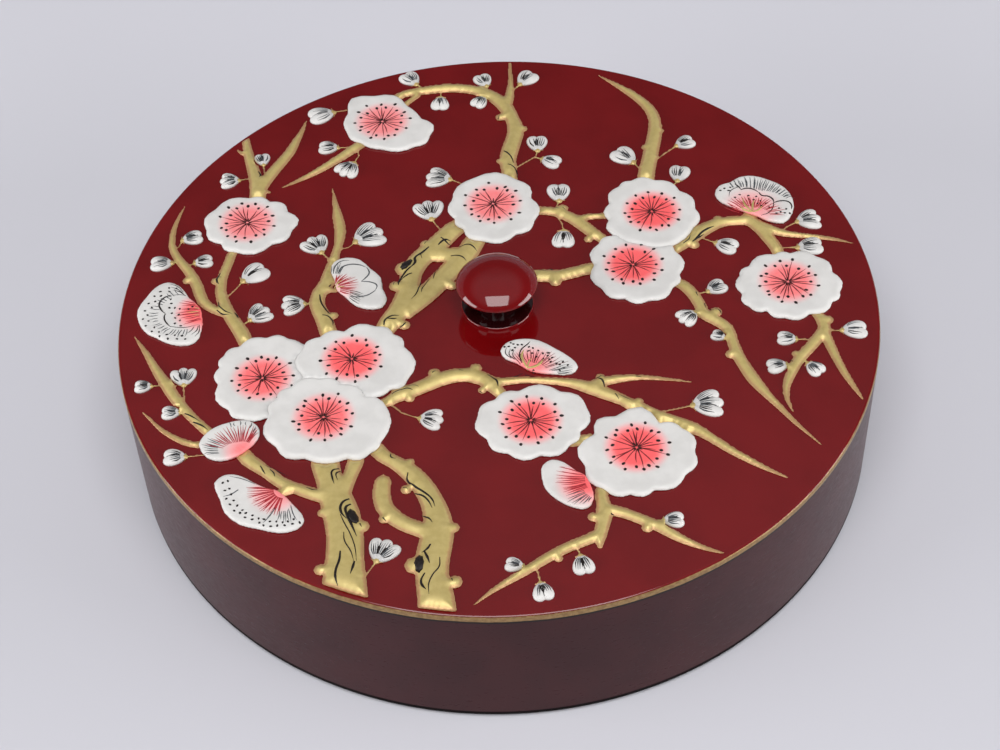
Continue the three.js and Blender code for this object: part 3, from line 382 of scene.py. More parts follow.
lid_section = [
    (SCREW_HOLE, LID_UNDERSIDE),
    (SKIRT_INSIDE - 1 - SUPPORT, LID_UNDERSIDE),
    (SKIRT_INSIDE, LID_UNDERSIDE),
    (SKIRT_INSIDE, LID_UNDERSIDE - 1 - SUPPORT),
    (SKIRT_INSIDE, SKIRT_BOTTOM + 0.6 + SUPPORT),
    (SKIRT_INSIDE, SKIRT_BOTTOM),
    (LID_RADIUS, SKIRT_BOTTOM),
    (LID_RADIUS, SKIRT_BOTTOM + FOOT_HEIGHT),
    (LID_RADIUS, LID_FACE - EDGE_ROUNDING - SUPPORT),
    (LID_RADIUS, LID_FACE),
    (LID_RADIUS - EDGE_ROUNDING - SUPPORT, LID_FACE),
    (SCREW_HOLE, LID_FACE),
]
shell = turned(lid_section)
round_off(shell, [(LID_RADIUS, LID_FACE)], EDGE_ROUNDING, segments=8)
round_off(shell, [(SKIRT_INSIDE, LID_UNDERSIDE)], 1)
round_off(shell, [(SKIRT_INSIDE, SKIRT_BOTTOM)], 0.6)
round_off(shell, [(LID_RADIUS, SKIRT_BOTTOM)], FOOT_ROUNDING, segments=6)

POLISHED, SATIN, INSIDE, FOOT = range(4)
for face in shell.faces:
    middle = face.calc_center_median()
    radius = middle.xy.length / MM
    if radius < SKIRT_INSIDE + 0.1 and middle.z < LID_FACE * MM - CLOSE:
        face.material_index = INSIDE
    elif middle.z > (LID_FACE - 0.35 * EDGE_ROUNDING) * MM:
        face.material_index = POLISHED
    elif middle.z < (SKIRT_BOTTOM + FOOT_HEIGHT) * MM:
        face.material_index = FOOT
    else:
        face.material_index = SATIN
lid = piece(
    "lid_lacquered",
    shell,
    "lid",
    "lid_lacquer",
    [red_polished, shaded_red_satin, black_satin, painted_foot_shadow],
    "lid_top",
    "lid_skirt",
    sharp=SHARP,
)
print("lid faces:", len(lid.data.polygons))

# %% [markdown]
# ## The knob
# The knob is turned from one piece: a thin flange, a straight neck and a mushroom cap. The cap is
# flat in the middle and slopes ever faster to its rim. An ellipse would turn too late and show the
# lamp as a thin line, so its height falls by two powers instead. The neck meets the flange in a
# sharp corner. The hollow under the cap gets a near-black lacquer, which is painted shade under the
# cap.

# %% Knob
_, knob_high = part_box("knob")
CAP_RADIUS = knob_high.x / MM
CAP_TOP = knob_high.z / MM
CAP_WIDEST = 76.8
CAP_FLATNESS = 2.6  # the first power: higher is flatter in the middle
CAP_SHOULDER = 0.8  # the second power: lower is steeper at the rim
CAP_UNDERSIDE = 73.4
NECK_RADIUS = 8.4
NECK_TOP_RADIUS = 9.6
FLANGE_RADIUS = 14.4
FLANGE_TOP = LID_FACE + 1.5
FLANGE_ROUNDING = 0.6
KNOB_HOLE_END = 68.4
KNOB_STEPS = 160
shares = [i / 14 for i in range(15)]
fine_shares = [i / 32 for i in range(33)]


def knob_section():
    foot = [
        (0, KNOB_HOLE_END),
        (SCREW_HOLE, KNOB_HOLE_END),
        (SCREW_HOLE, LID_FACE),
        (FLANGE_RADIUS, LID_FACE),
    ]
    for t in shares[::2]:
        angle = t * math.pi / 2
        reach = FLANGE_RADIUS - FLANGE_ROUNDING * (1 - math.cos(angle))
        foot.append((reach, FLANGE_TOP - FLANGE_ROUNDING * (1 - math.sin(angle))))
    neck = [
        (
            NECK_RADIUS + (NECK_TOP_RADIUS - NECK_RADIUS) * t**4,
            FLANGE_TOP + (CAP_UNDERSIDE - FLANGE_TOP) * t,
        )
        for t in shares
    ]
    under = []
    for t in shares[1:]:
        angle = t * math.pi / 2
        reach = NECK_TOP_RADIUS + (CAP_RADIUS - NECK_TOP_RADIUS) * math.sin(angle)
        under.append((reach, CAP_WIDEST - (CAP_WIDEST - CAP_UNDERSIDE) * math.cos(angle)))
    over = []
    for t in fine_shares[1:]:
        reach = math.cos(t * math.pi / 2) if t < 1 else 0
        rise = (CAP_TOP - CAP_WIDEST) * (1 - reach**CAP_FLATNESS) ** CAP_SHOULDER
        over.append((CAP_RADIUS * reach, CAP_WIDEST + rise))
    return foot + neck + under + over


HOLLOW_LOW = FLANGE_TOP - 0.05
HOLLOW_HIGH = CAP_WIDEST - 0.4
HOLLOW_RADIUS = CAP_RADIUS - 0.2
knob_bm = turned(knob_section(), KNOB_STEPS, closed=False)
# Faces in the hollow under the cap take the painted shade.
for face in knob_bm.faces:
    middle = face.calc_center_median() / MM
    hollow = HOLLOW_LOW < middle.z < HOLLOW_HIGH and middle.xy.length < HOLLOW_RADIUS
    face.material_index = 1 if hollow else 0
finishes = [red_polished, hollow_shade_polished]
knob = piece("knob_lacquered", knob_bm, "lid", "lid_lacquer", finishes, "knob", sharp=SHARP)
print("knob faces:", len(knob.data.polygons))

# %% [markdown]
# ## The screw that holds the knob
# It shows only when the lid is turned over. The head and the washer are turned like everything
# else, and a boolean cuts the slot, as a saw does.

# %% Brushed steel
def steel_finish():
    material, tree = finish_of("brushed steel", Metallic=1.0)
    drawn = pattern(tree, 900, 4, stretch=(1, 8, 1))
    colour = blend(tree, drawn, (0.42, 0.42, 0.41, 1), (0.6, 0.6, 0.58, 1))
    gloss = span(tree, drawn, 0.3, 0.7, 0.22, 0.4)
    return wired(material, colour, gloss, bump(tree, drawn, 0.1, 0.02))


steel = steel_finish()

# %% Screw and washer
washer_low, washer_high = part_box("knob_washer")
screw_low, screw_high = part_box("knob_screw")
WASHER_RADIUS = washer_high.x / MM
SEAT = washer_low.z / MM
HEAD_RADIUS = screw_high.x / MM
HEAD_BOTTOM = screw_low.z / MM
HEAD_HEIGHT = 1.6
SCREW_POINT = screw_high.z / MM
SHANK_RADIUS = 2
SHANK_END = SCREW_POINT - 8  # the rest of the shank is hidden in the knob
SHANK_TIP = SCREW_POINT - 6
SLOT_WIDTH = 1.0
SLOT_DEPTH = 1.1
FASTENER_STEPS = 64


def fastener(name, bm, cad):
    return piece(name, bm, "lid", "screw_steel", [steel], cad, sharp=SHARP)


lower = [(SCREW_HOLE, SEAT), (WASHER_RADIUS, SEAT)]
upper = [(WASHER_RADIUS, LID_UNDERSIDE), (SCREW_HOLE, LID_UNDERSIDE)]
washer = turned(lower + upper, FASTENER_STEPS)
fastener("washer_steel", round_off(washer, lower, 0.15, 2), "knob_washer")

angles = [t * math.pi / 2 for t in shares]
section = [(HEAD_RADIUS * math.sin(a), HEAD_BOTTOM + HEAD_HEIGHT * (1 - math.cos(a))) for a in angles]
section += [(HEAD_RADIUS, SEAT), (SHANK_RADIUS, SEAT)]
section += [(SHANK_RADIUS, SHANK_END), (0, SHANK_TIP)]
screw = fastener("screw_steel", turned(section, FASTENER_STEPS, closed=False), "knob_screw")


def cut_slot(target):
    """Saws the slot across the screw's head with a boolean that is applied at once."""
    saw = bmesh.new()
    bmesh.ops.create_cube(saw, size=1)
    size = Vector((3 * HEAD_RADIUS, SLOT_WIDTH, 2 * SLOT_DEPTH)) * MM
    bmesh.ops.scale(saw, vec=size, verts=saw.verts)
    bmesh.ops.translate(saw, vec=(0, 0, HEAD_BOTTOM * MM), verts=saw.verts)
    blade = linked("blade", mesh_of("blade", saw))
    cut = target.modifiers.new("slot", "BOOLEAN")
    cut.operation = "DIFFERENCE"
    cut.object = blade
    depsgraph = bpy.context.evaluated_depsgraph_get()
    target.data = bpy.data.meshes.new_from_object(target.evaluated_get(depsgraph))
    target.modifiers.clear()
    bpy.data.objects.remove(blade)


cut_slot(screw)
print("screw faces:", len(screw.data.polygons))

# %% [markdown]
# ## The box inside
# Base board, wall and round compartment are turned with softened rims. The dividers are copies of
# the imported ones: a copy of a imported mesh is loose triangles, so its corners are merged and its
# flat faces joined before the upper edges can be bevelled.

# %% Base board, wall and cup
wall_low, wall_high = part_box("body_wall")
_, cup_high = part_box("centre_ring")
WALL_RADIUS = wall_high.x / MM
WALL_THICKNESS = 5
CUP_THICKNESS = 4
BASE_TOP = wall_low.z / MM
RIM = 1.2


def inner_piece(name, bm, cad):
    piece(name, bm, "box", "inner_lacquer", [black_satin], cad, sharp=SHARP)


def upright_ring(name, cad, high, thickness):
    """A turned wall with a rounded rim, and supporting points beside the rim's corners."""
    outside = high.x / MM
    inside = outside - thickness
    top = high.z / MM
    rims = [(outside, top), (inside, top)]
    section = [(inside, BASE_TOP), (outside, BASE_TOP), (outside, top - RIM - SUPPORT)]
    ring = turned(section + rims + [(inside, top - RIM - SUPPORT)])
    inner_piece(name, round_off(ring, rims, RIM, 3), cad)


upright_ring("wall_lacquered", "body_wall", wall_high, WALL_THICKNESS)
upright_ring("cup_lacquered", "centre_ring", cup_high, CUP_THICKNESS)
section = [(0, 0), (WALL_RADIUS - 1, 0), (WALL_RADIUS, 0), (WALL_RADIUS, BASE_TOP), (0, BASE_TOP)]
board = turned(section, closed=False)
inner_piece("board_lacquered", round_off(board, [(WALL_RADIUS, 0)], 0.6, 3), "base_board")

# %% Dividers
FLAT = math.radians(0.5)
MERGE = 1e-6


def merged_copy(name):
    """A CAD node's mesh as one connected bmesh."""
    bm = bmesh.new()
    bm.from_mesh(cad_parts[name].data)
    bmesh.ops.remove_doubles(bm, verts=bm.verts, dist=MERGE)
    return bm


for i in range(1, 6):
    name = f"divider_{i}"
    divider = merged_copy(name)
    bmesh.ops.dissolve_limit(divider, angle_limit=FLAT, verts=divider.verts, edges=divider.edges)
    top = max(vert.co.z for vert in divider.verts)
    upper = [edge for edge in divider.edges if all(vert.co.z > top - CLOSE for vert in edge.verts)]
    inner_piece(f"{name}_lacquered", bevelled(divider, upper, RIM, 3), name)

# %% [markdown]
# ## Paste that was modelled by hand
# The blossoms and boughs are soft, swollen forms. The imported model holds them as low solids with
# the right outlines. Subdividing those would only follow their facets, so each copy is remeshed
# with small voxels, which gives an even skin, and then smoothed until its edges are as round as
# paste that has settled. The underside stays where it is, on the lid. A little swelling makes up
# for what the smoothing takes away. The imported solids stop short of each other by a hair, so where
# one lies under another its edge is first tucked in under the upper one.

# %% Remeshing and settling
PASTE_SINK = 0.04  # how far the paste reaches into the lacquer
NEIGHBOUR = 0.5  # pieces closer than this touch


def remeshed(bm, voxel):
    """Wraps a bmesh in an even skin of small quads."""
    draft = linked("draft", mesh_of("draft", bm))
    skin = draft.modifiers.new("skin", "REMESH")
    skin.mode = "VOXEL"
    skin.voxel_size = voxel * MM
    result = bmesh.new()
    result.from_object(draft, bpy.context.evaluated_depsgraph_get())
    bpy.data.objects.remove(draft)
    return result


def smooth(skin, verts, passes, level=True, upright=True):
    """Evens a skin out, level with the lid, upright or both."""
    axes = {"use_axis_x": level, "use_axis_y": level, "use_axis_z": upright}
    for _ in range(passes):
        bmesh.ops.smooth_vert(skin, verts=verts, factor=0.5, **axes)


def tucked(bm, over, depth):
    """Moves what touches the blossom above further in under it, so no gap shows between them."""
    above = merged_copy(over)
    cover = BVHTree.FromBMesh(above)
    above.free()
    low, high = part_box(over)
    for vert in bm.verts:
        if cover.find_nearest(vert.co, NEIGHBOUR * MM)[0] is not None:
            way = (low + high) / 2 - vert.co
            way.z = 0
            vert.co += way.normalized() * depth * MM
    return bm


def settled(bm, voxel, swelling, passes, rise=1.0):
    """A smooth skin round a rough solid. Rise stretches its height above the lid."""
    skin = remeshed(bm, voxel)
    skin.normal_update()
    low = (LID_FACE + 0.4 * voxel) * MM
    free = [vert for vert in skin.verts if vert.co.z > low]
    for vert in free:
        vert.co += Vector((vert.normal.x, vert.normal.y, 0)) * swelling * MM
    smooth(skin, free, passes)
    face = LID_FACE * MM
    for vert in skin.verts:
        if vert.co.z > low:
            vert.co.z = face + (vert.co.z - face) * rise
        else:
            vert.co.z = face - PASTE_SINK * MM
    return skin


def outline_tree(skin):
    """A search tree of the places where a skin meets the lid."""
    sunk = (LID_FACE - PASTE_SINK / 2) * MM

    def on_rim(vert):
        return vert.co.z < sunk and any(edge.other_vert(vert).co.z > sunk for edge in vert.link_edges)

    rim = [on_rim(vert) for vert in skin.verts]
    places = [vert.co.copy() for vert in skin.verts if rim[vert.index]]
    for edge in skin.edges:
        one, other = edge.verts
        if rim[one.index] and rim[other.index]:
            places += [one.co.lerp(other.co, share) for share in (0.25, 0.5, 0.75)]
    return tree_of(places)


def rims_of(*names):
    """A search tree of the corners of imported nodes."""
    return tree_of([corner.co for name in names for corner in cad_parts[name].data.vertices])


def tree_of(places):
    tree = KDTree(len(places))
    for i, place in enumerate(places):
        tree.insert((place.x, place.y, 0), i)
    tree.balance()
    return tree


def distances(tree, verts):
    """How far each vertex is from the nearest place in a tree, in millimetres."""
    return np.array([tree.find((vert.co.x, vert.co.y, 0))[2] for vert in verts]) / MM


# %% [markdown]
# ## Painted paste
# The white of the petals is a matt, slightly chalky paint, and coral is brushed outwards from the
# middle of each blossom and fades before it reaches the rim. The fading follows the blossom and
# not the lid, so it is stored in the mesh, as an attribute, and the material reads it. A second
# attribute holds grey: painted shade where one blossom lies over another, and a grey tone at the
# foot of a bud.

# %% Petal paint
def petal_finish():
    material, tree = finish_of("painted petal paste", IOR=1.45)
    white = blend(tree, patches(tree, 130, 4), (0.65, 0.635, 0.61, 1), (0.72, 0.705, 0.68, 1))
    glow = attribute(tree, "glow")
    brushed = maths(tree, "MULTIPLY", swing(tree, 0.22, 900), glow)
    uneven = maths(tree, "ADD", glow, brushed)
    pale = blend(tree, span(tree, uneven, 0.0, 0.55), white, (0.9, 0.42, 0.42, 1))
    coral = blend(tree, span(tree, uneven, 0.4, 1.0), pale, (0.98, 0.13, 0.135, 1))
    # Grey over the paint: painted shade beside a blossom above, and a grey tone at a bud's foot.
    shaded_and_greyed = blend(tree, attribute(tree, "overlap_shade_and_foot_grey"), coral, (0.33, 0.33, 0.34, 1))
    grain = pattern(tree, 1500)
    gloss = span(tree, grain, 0.3, 0.7, 0.36, 0.52)
    return wired(material, shaded_and_greyed, gloss, bump(tree, grain, 0.12, 0.04))


petal_paint = petal_finish()
surfaces = {}


def store(made, name, values):
    """Keeps one number per vertex of a piece's mesh, for its material to read."""
    layer = made.data.attributes.new(name, "FLOAT", "POINT")
    layer.data.foreach_set("value", np.asarray(values, np.float32))


def fade(values, full, end):
    """1 up to full, 0 from end, and a smooth way between them."""
    t = np.clip((end - values) / (end - full), 0, 1)
    return t * t * (3 - 2 * t)


def blossom(name, skin, heart, glow, full, end):
    """A painted blossom, with coral that fades between two distances from its heart."""
    made = piece(f"{name}_paste", skin, "lid", "petal_paste", [petal_paint], name)
    reach = distances(tree_of([Vector(heart) * MM]), made.data.vertices)
    store(made, "glow", glow * fade(reach, full, end))
    surfaces[name] = made
    return made


# %% Blossoms seen from the front
BLOSSOM_VOXEL = 0.45
BLOSSOM_TUCK = 2.0
GLOW_FULL = 6.2
GLOW_END = 14.4
# SHADE is the strength of the painted shade beside a blossom that lies above.
SHADE = 0.22  # the strength of the wash beside a blossom that lies above
SHADE_END = 2.2
STAMENS = {  # the place of each blossom's star, and the strength of its coral
    1: (-46, 111, 0.7), 2: (-101.5, 52, 0.72), 3: (0, 56.5, 0.75), 4: (65, 47.2, 1.0),
    5: (55, 17.5, 0.95), 6: (115.5, 4, 0.78), 7: (-91.5, -34.5, 0.85), 8: (-57.2, -26.8, 0.95),
    9: (-67.5, -56, 0.85), 10: (10.5, -62, 0.95), 11: (49, -77.5, 1.0),
}
RISES = {4: 1.25, 8: 1.12, 9: 1.25}  # how much higher some blossoms stand
OVER = {5: [4], 7: [8, 9], 8: [9]}  # which blossoms lie over another

for number, (x, y, glow) in STAMENS.items():
    name = f"blossom_{number}"
    above = [f"blossom_{other}" for other in OVER.get(number, [])]
    rough = merged_copy(name)
    for over in above:
        tucked(rough, over, BLOSSOM_TUCK)
    skin = settled(rough, BLOSSOM_VOXEL, swelling=0.3, passes=5, rise=RISES.get(number, 1))
    made = blossom(name, skin, (x, y), glow, GLOW_FULL, GLOW_END)
    # Painted shade: grey along the edges where another blossom lies above this one.
    overlap_shade_and_foot_grey = np.zeros(len(made.data.vertices))
    for over in above:
        gap = distances(rims_of(over), made.data.vertices)
        overlap_shade_and_foot_grey = np.maximum(overlap_shade_and_foot_grey, SHADE * fade(gap, 0, SHADE_END))
    store(made, "overlap_shade_and_foot_grey", overlap_shade_and_foot_grey)
print("blossom faces:", [len(made.data.polygons) for made in surfaces.values()])

# %% Blossoms seen from the side
SIDES = {  # the heart of each blossom's coral, its strength, where it is full and where it ends
    "left": (-118, 2, 0.85, 4, 12.5),
    "inner_left": (-62, 12, 0.35, 2, 10),
    "low_left": (-97, -70, 0.75, 1, 11),
    "front_left": (-84, -91, 0.7, 2, 13),
    "back_right": (106, 47, 0.62, 2, 16),
    "middle": (12, -34, 0.75, 2, 13),
    "front": (29, -93, 0.9, 2, 14),
}
for side, (x, y, glow, full, end) in SIDES.items():
    name = f"side_blossom_{side}"
    skin = settled(merged_copy(name), BLOSSOM_VOXEL, swelling=0.35, passes=9)
    blossom(name, skin, (x, y), glow, full, end)
BLOSSOMS = list(surfaces)
blossom_rims = rims_of(*BLOSSOMS)

# %% [markdown]
# ## Gilded boughs
# The boughs are the same paste under gold powder and a thin clear coat. Gold powder is not a
# mirror: it is partly metal, partly matt, so the shader is only partly metallic and fairly rough.
# The gold is thin along the edges, where a reddish ground shows. How near a point is to the edge
# is stored in the mesh.

# %% Gilding
def gilt_finish():
    material, tree = finish_of("gilded paste", IOR=1.5, Metallic=0.35)
    body = blend(tree, patches(tree, 420, 4), (0.56, 0.435, 0.155, 1), (0.62, 0.49, 0.19, 1))
    powder = span(tree, pattern(tree, 1700, 2), 0.3, 0.75)
    dusted = blend(tree, maths(tree, "MULTIPLY", powder, 0.12), body, (0.7, 0.58, 0.27, 1))
    colour = blend(tree, attribute(tree, "edge"), dusted, (0.5, 0.265, 0.13, 1))
    gloss = span(tree, powder, 0, 1, 0.4, 0.44)
    return wired(material, colour, gloss, bump(tree, pattern(tree, 420, 2), 0.05, 0.05))


gilt = gilt_finish()

# %% [markdown]
# ## Where the buds sit
# Each bud has a place, a heading in degrees, a length and a number of petals. Its petals fan out
# from a foot, where the stem ends in a small gilded cup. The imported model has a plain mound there,
# so the gilded copy is pressed flat under the petals, and the cup is added on top of it.

# %% Buds
BUDS = {
    "bough_front_left": [(-45, -119, 63, 11.5, 3)],
    "twig_low_left": [
        (-137.5, -35, 180, 7.5, 2), (-122.3, -31, 95, 10, 3), (-125.8, -49, 180, 8, 2),
    ],
    "bud_low_left": [(-122.8, -71, 180, 9.5, 2)],
    "bough_left": [
        (-124, 45.5, 15, 9.5, 2), (-135.5, 31.5, 180, 10, 2), (-118.5, 31.5, 10, 8.5, 2),
        (-97.5, 23, 40, 13, 2), (-94.5, 0.5, 40, 10.5, 3),
    ],
    "bough_back_left": [(-97, 91.2, 100, 8, 2), (-110.3, 79, 180, 9, 3)],
    "bough_inner_left": [(-73, 38, 120, 11.5, 3), (-51.5, 42, 30, 14, 3), (-81, 4.8, 185, 10.5, 3)],
    "bough_middle": [(-26.5, 55.5, 100, 12.5, 3)],
    "bough_back": [
        (-33.8, 139.5, 125, 10.5, 2), (-21, 122.5, 265, 9.5, 2), (-3.7, 122.3, 235, 8.5, 2),
        (-1.8, 136.3, 110, 9.5, 2), (17.3, 136.3, 50, 11, 2), (20, 93.5, 90, 10.5, 2),
        (25.2, 82, 335, 9.5, 2),
    ],
    "bud_back_left": [(-72.5, 118.3, 195, 12.5, 2)],
    "bud_back_middle": [(-22.3, 75, 165, 11.5, 3)],
    "twig_back_left": [(-69, 97, 175, 9.5, 2), (-60.5, 83, 235, 10.5, 3)],
    "bough_back_right": [(56.5, 83, 130, 12.5, 2), (82.5, 89.8, 25, 9.5, 2)],
    "bud_back_right": [(78.5, 70.8, 75, 10.5, 2)],
    "bough_inner_right": [(27.5, 62.5, 90, 11.5, 2), (28, 35.3, 265, 11, 2)],
    "bough_right": [(128.5, 39.7, 10, 11, 3), (93.5, 27, 335, 10.5, 2), (127, 24.5, 5, 11.5, 2)],
    "bough_low_right": [
        (87, 3.8, 30, 9.5, 2), (74.3, -11.5, 215, 9, 3), (85.3, -22.3, 150, 6.5, 2),
    ],
    "fork_right": [
        (111.5, -25.3, 170, 8.5, 2), (138, -22.3, 0, 11, 2), (106, -39.3, 185, 9, 2),
        (120, -41.3, 310, 8.5, 2),
    ],
    "bough_front_right": [(-27, -58.2, 350, 10, 3), (77.5, -56.7, 5, 13, 3)],
    "twig_front_right": [
        (59.7, -111, 0, 8.5, 2), (26, -129, 280, 9.5, 2), (1.8, -127.8, 165, 7.5, 2),
        (11.2, -139.8, 280, 9, 2),
    ],
}
BUD_PLUMPNESS = 0.85  # a bud's width as a share of its length
PRESSED_AREA = 1.3  # how much is pressed flat, as a share of the bud's oval
FOOT_START = -0.8  # where the foot begins: -1 is the near end of the oval and 1 the far end


def headed(degrees):
    return Vector((math.cos(math.radians(degrees)), math.sin(math.radians(degrees))))


def axes_of(heading):
    """The ways along and across a heading."""
    way = headed(heading)
    return way, Vector((-way.y, way.x))


def lump(bm, at, heading, length, width, height, narrow=0.0):
    """Adds a low oval lump on the lid. Narrow makes its near end slimmer than its far end."""
    made = bmesh.ops.create_uvsphere(bm, u_segments=20, v_segments=10, radius=1)
    way, across = axes_of(heading)
    for vert in made["verts"]:
        u, v, w = vert.co
        spot = Vector(at) + way * u * length / 2
        spot += across * v * width / 2 * (1 - narrow * (1 - u) / 2)
        level = LID_FACE + w * height if w > 0.01 else LID_FACE - PASTE_SINK
        vert.co = Vector((spot.x, spot.y, level)) * MM


def press_under(skin, bud):
    """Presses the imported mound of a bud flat, apart from its foot."""
    x, y, heading, length, _ = bud
    way, across = axes_of(heading)
    co = np.array([vert.co.xy for vert in skin.verts]) / MM - (x, y)
    u = co @ np.array(way) / (length / 2)
    v = co @ np.array(across) / (length * BUD_PLUMPNESS / 2)
    skin.verts.ensure_lookup_table()
    for i in np.flatnonzero((u * u + v * v < PRESSED_AREA) & (u > FOOT_START)):
        skin.verts[int(i)].co.z = (LID_FACE - 2 * PASTE_SINK) * MM


def foot_of(bud):
    x, y, heading, length, _ = bud
    return Vector((x, y)) - headed(heading) * length / 2


def feet_of(buds):
    """A search tree of the feet of buds."""
    return tree_of([foot_of(bud) * MM for bud in buds])


# %% [markdown]
# ## The round backs of the boughs
# A bough is round on top: highest along its middle, with steep sides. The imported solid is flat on
# top, so the height is worked out anew from how far a point is from the outline: it rises like a
# quarter circle, a little softer, and is full after a few millimetres. Thin twigs stay lower that
# way, as on the real lid. Close to a blossom a bough sinks, so that it passes under the petals.

# %% Boughs
BOUGH_VOXEL = 0.34
BOUGH_HEIGHT = 2.3
BOUGH_SHOULDER = 5.0
BOUGH_FULLNESS = 0.68  # 0.5 is a quarter circle, more is a softer slope
BOUGH_TUCK = 1.2
BOUGH_SWELLING = 0.4  # makes up for what smoothing takes from thin stems
SUNK_SHARE = 0.4  # the height that is left where a bough meets a blossom
SINKING = 3.0  # over how many millimetres a bough sinks
CUP = (0.3, 0.24, 0.85)  # length and width of a bud's cup as shares of the bud, and its height
CUP_PLACE = 0.12  # how far the cup's middle is from the bud's foot, as a share of the bud
EDGE_STRENGTH = 0.85  # how much of the reddish ground shows at the edge
EDGE_FULL = 0.25
EDGE_END = 1.1
CUP_GILDING = 0.7  # how much less of the ground shows on a cup
CUP_FULL = 1.2
CUP_END = 1.9
KINDS = ("bough_", "twig_", "fork_", "link_", "bud_")
BOUGHS = [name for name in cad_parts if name.startswith(KINDS)]


def rounded_bough(name):
    rough = merged_copy(name)
    low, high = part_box(name)
    for over in BLOSSOMS:
        over_low, over_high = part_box(over)
        apart = max(over_low.x - high.x, low.x - over_high.x, over_low.y - high.y, low.y - over_high.y)
        if apart < NEIGHBOUR * MM:
            tucked(rough, over, BOUGH_TUCK)
    skin = settled(rough, BOUGH_VOXEL, swelling=BOUGH_SWELLING, passes=3)
    smooth(skin, skin.verts, 5, upright=False)
    free = [vert for vert in skin.verts if vert.co.z > LID_FACE * MM]
    outline = outline_tree(skin)
    inside = np.clip(distances(outline, free) / BOUGH_SHOULDER, 0, 1)
    sunk = 1 - (1 - SUNK_SHARE) * fade(distances(blossom_rims, free), 0, SINKING)
    heights = BOUGH_HEIGHT * (1 - (1 - inside) ** 2) ** BOUGH_FULLNESS * sunk
    for vert, height in zip(free, heights):
        vert.co.z = (LID_FACE + float(height)) * MM
    smooth(skin, free, 7, level=False)
    return skin, outline


for name in sorted(BOUGHS):
    skin, outline = rounded_bough(name)
    buds = BUDS.get(name, [])
    for bud in buds:
        press_under(skin, bud)
        length, heading = bud[3], bud[2]
        at = foot_of(bud) + headed(heading) * CUP_PLACE * length
        lump(skin, at, heading, CUP[0] * length, CUP[1] * length, CUP[2])
    made = piece(f"{name}_gilt", skin, "lid", "gilt_paste", [gilt], name)
    verts = made.data.vertices
    edge = EDGE_STRENGTH * fade(distances(outline, verts), EDGE_FULL, EDGE_END)
    if buds:
        edge = edge * (1 - CUP_GILDING * fade(distances(feet_of(buds), verts), CUP_FULL, CUP_END))
    store(made, "edge", edge)
    surfaces[name] = made
print("gilt faces:", sum(len(surfaces[name].data.polygons) for name in BOUGHS))

# %% [markdown]
# ## Petals of the buds
# A bud shows two or three petals that overlap. Each is a plump oval, slimmer at its foot. They are
# separate lumps that pass through one another, because that gives the crease between two petals
# without any modelling. Their colour turns greyer towards the foot.

# %% Bud petals
FANS = {2: (-13, 13), 3: (-25, 25, 0)}
PETAL_HEIGHTS = (1.65, 1.8, 1.95)
BUD_FOOT_GREY = 0.45
FOOT_GREY_FULL = 2.0
FOOT_GREY_END = 6.5
PETAL_WIDTHS = {2: 0.68, 3: 0.56}  # a petal's width, length and start as shares of the bud
PETAL_LENGTH = 0.9
PETAL_START = 0.08
PETAL_TAPER = 0.35


def petals_of(bud):
    """The petals of a bud as (middle, heading, length, width)."""
    _, _, heading, length, count = bud
    foot = foot_of(bud)
    size = PETAL_LENGTH * length
    start = PETAL_START * length
    broad = length * PETAL_WIDTHS[count]
    return [
        (foot + headed(heading + turn) * (start + size / 2), heading + turn, size, broad)
        for turn in FANS[count]
    ]


for name, buds in BUDS.items():
    bm = bmesh.new()
    for bud in buds:
        for (middle, heading, length, width), height in zip(petals_of(bud), PETAL_HEIGHTS):
            lump(bm, middle, heading, length, width, height, narrow=PETAL_TAPER)
    made = piece(f"{name}_bud_petals", bm, "lid", "petal_paste", [petal_paint])
    # The petals turn greyer towards the foot of each bud.
    reach = distances(feet_of(buds), made.data.vertices)
    store(made, "overlap_shade_and_foot_grey", BUD_FOOT_GREY * fade(reach, FOOT_GREY_FULL, FOOT_GREY_END))
    surfaces[f"{name}_petals"] = made

# %% [markdown]
# ## Brush strokes
# Stamens, veins and bark are painted with a fine brush, and the paint stands a little proud. Fine
# lines could be an image, but then they would have no edge of their own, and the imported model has
# none. A stroke here is a curve with a round section and a radius at each point, so it thins out
# as a brush does. It is made a mesh, pressed flat and laid down on the surface under it: a ray
# goes down from each point to find that surface.

# %% Inks
def ink(name, dark, light):
    material, tree = finish_of(name, Roughness=0.45, Specular_IOR_Level=0.25)
    uneven = bump(tree, pattern(tree, 2000, 2), 0.15, 0.02)
    return wired(material, blend(tree, patches(tree, 1100, 3), dark, light), None, uneven)


INKS = [
    ink("black ink", (0.008, 0.006, 0.006, 1), (0.02, 0.015, 0.013, 1)),
    ink("crimson ink", (0.11, 0.012, 0.014, 1), (0.2, 0.025, 0.028, 1)),
    ink("grey ink", (0.045, 0.05, 0.055, 1), (0.11, 0.12, 0.13, 1)),
    gilt,
    ink("coral ink", (0.34, 0.022, 0.03, 1), (0.46, 0.04, 0.05, 1)),
]
BLACK, CRIMSON, GREY, GOLD, CORAL = range(5)

# %% Laying strokes and dots on a surface
INK_FLATNESS = 0.35
INK_LIFT = 0.04
FIRST_TAPER = 0.6
LAST_TAPER = 0.22
ground_trees = {}


def ground(name):
    """The search tree of a surface, made when it is first needed."""
    if name not in ground_trees:
        bm = bmesh.new()
        bm.from_mesh(surfaces[name].data)
        ground_trees[name] = BVHTree.FromBMesh(bm)
        bm.free()
    return ground_trees[name]


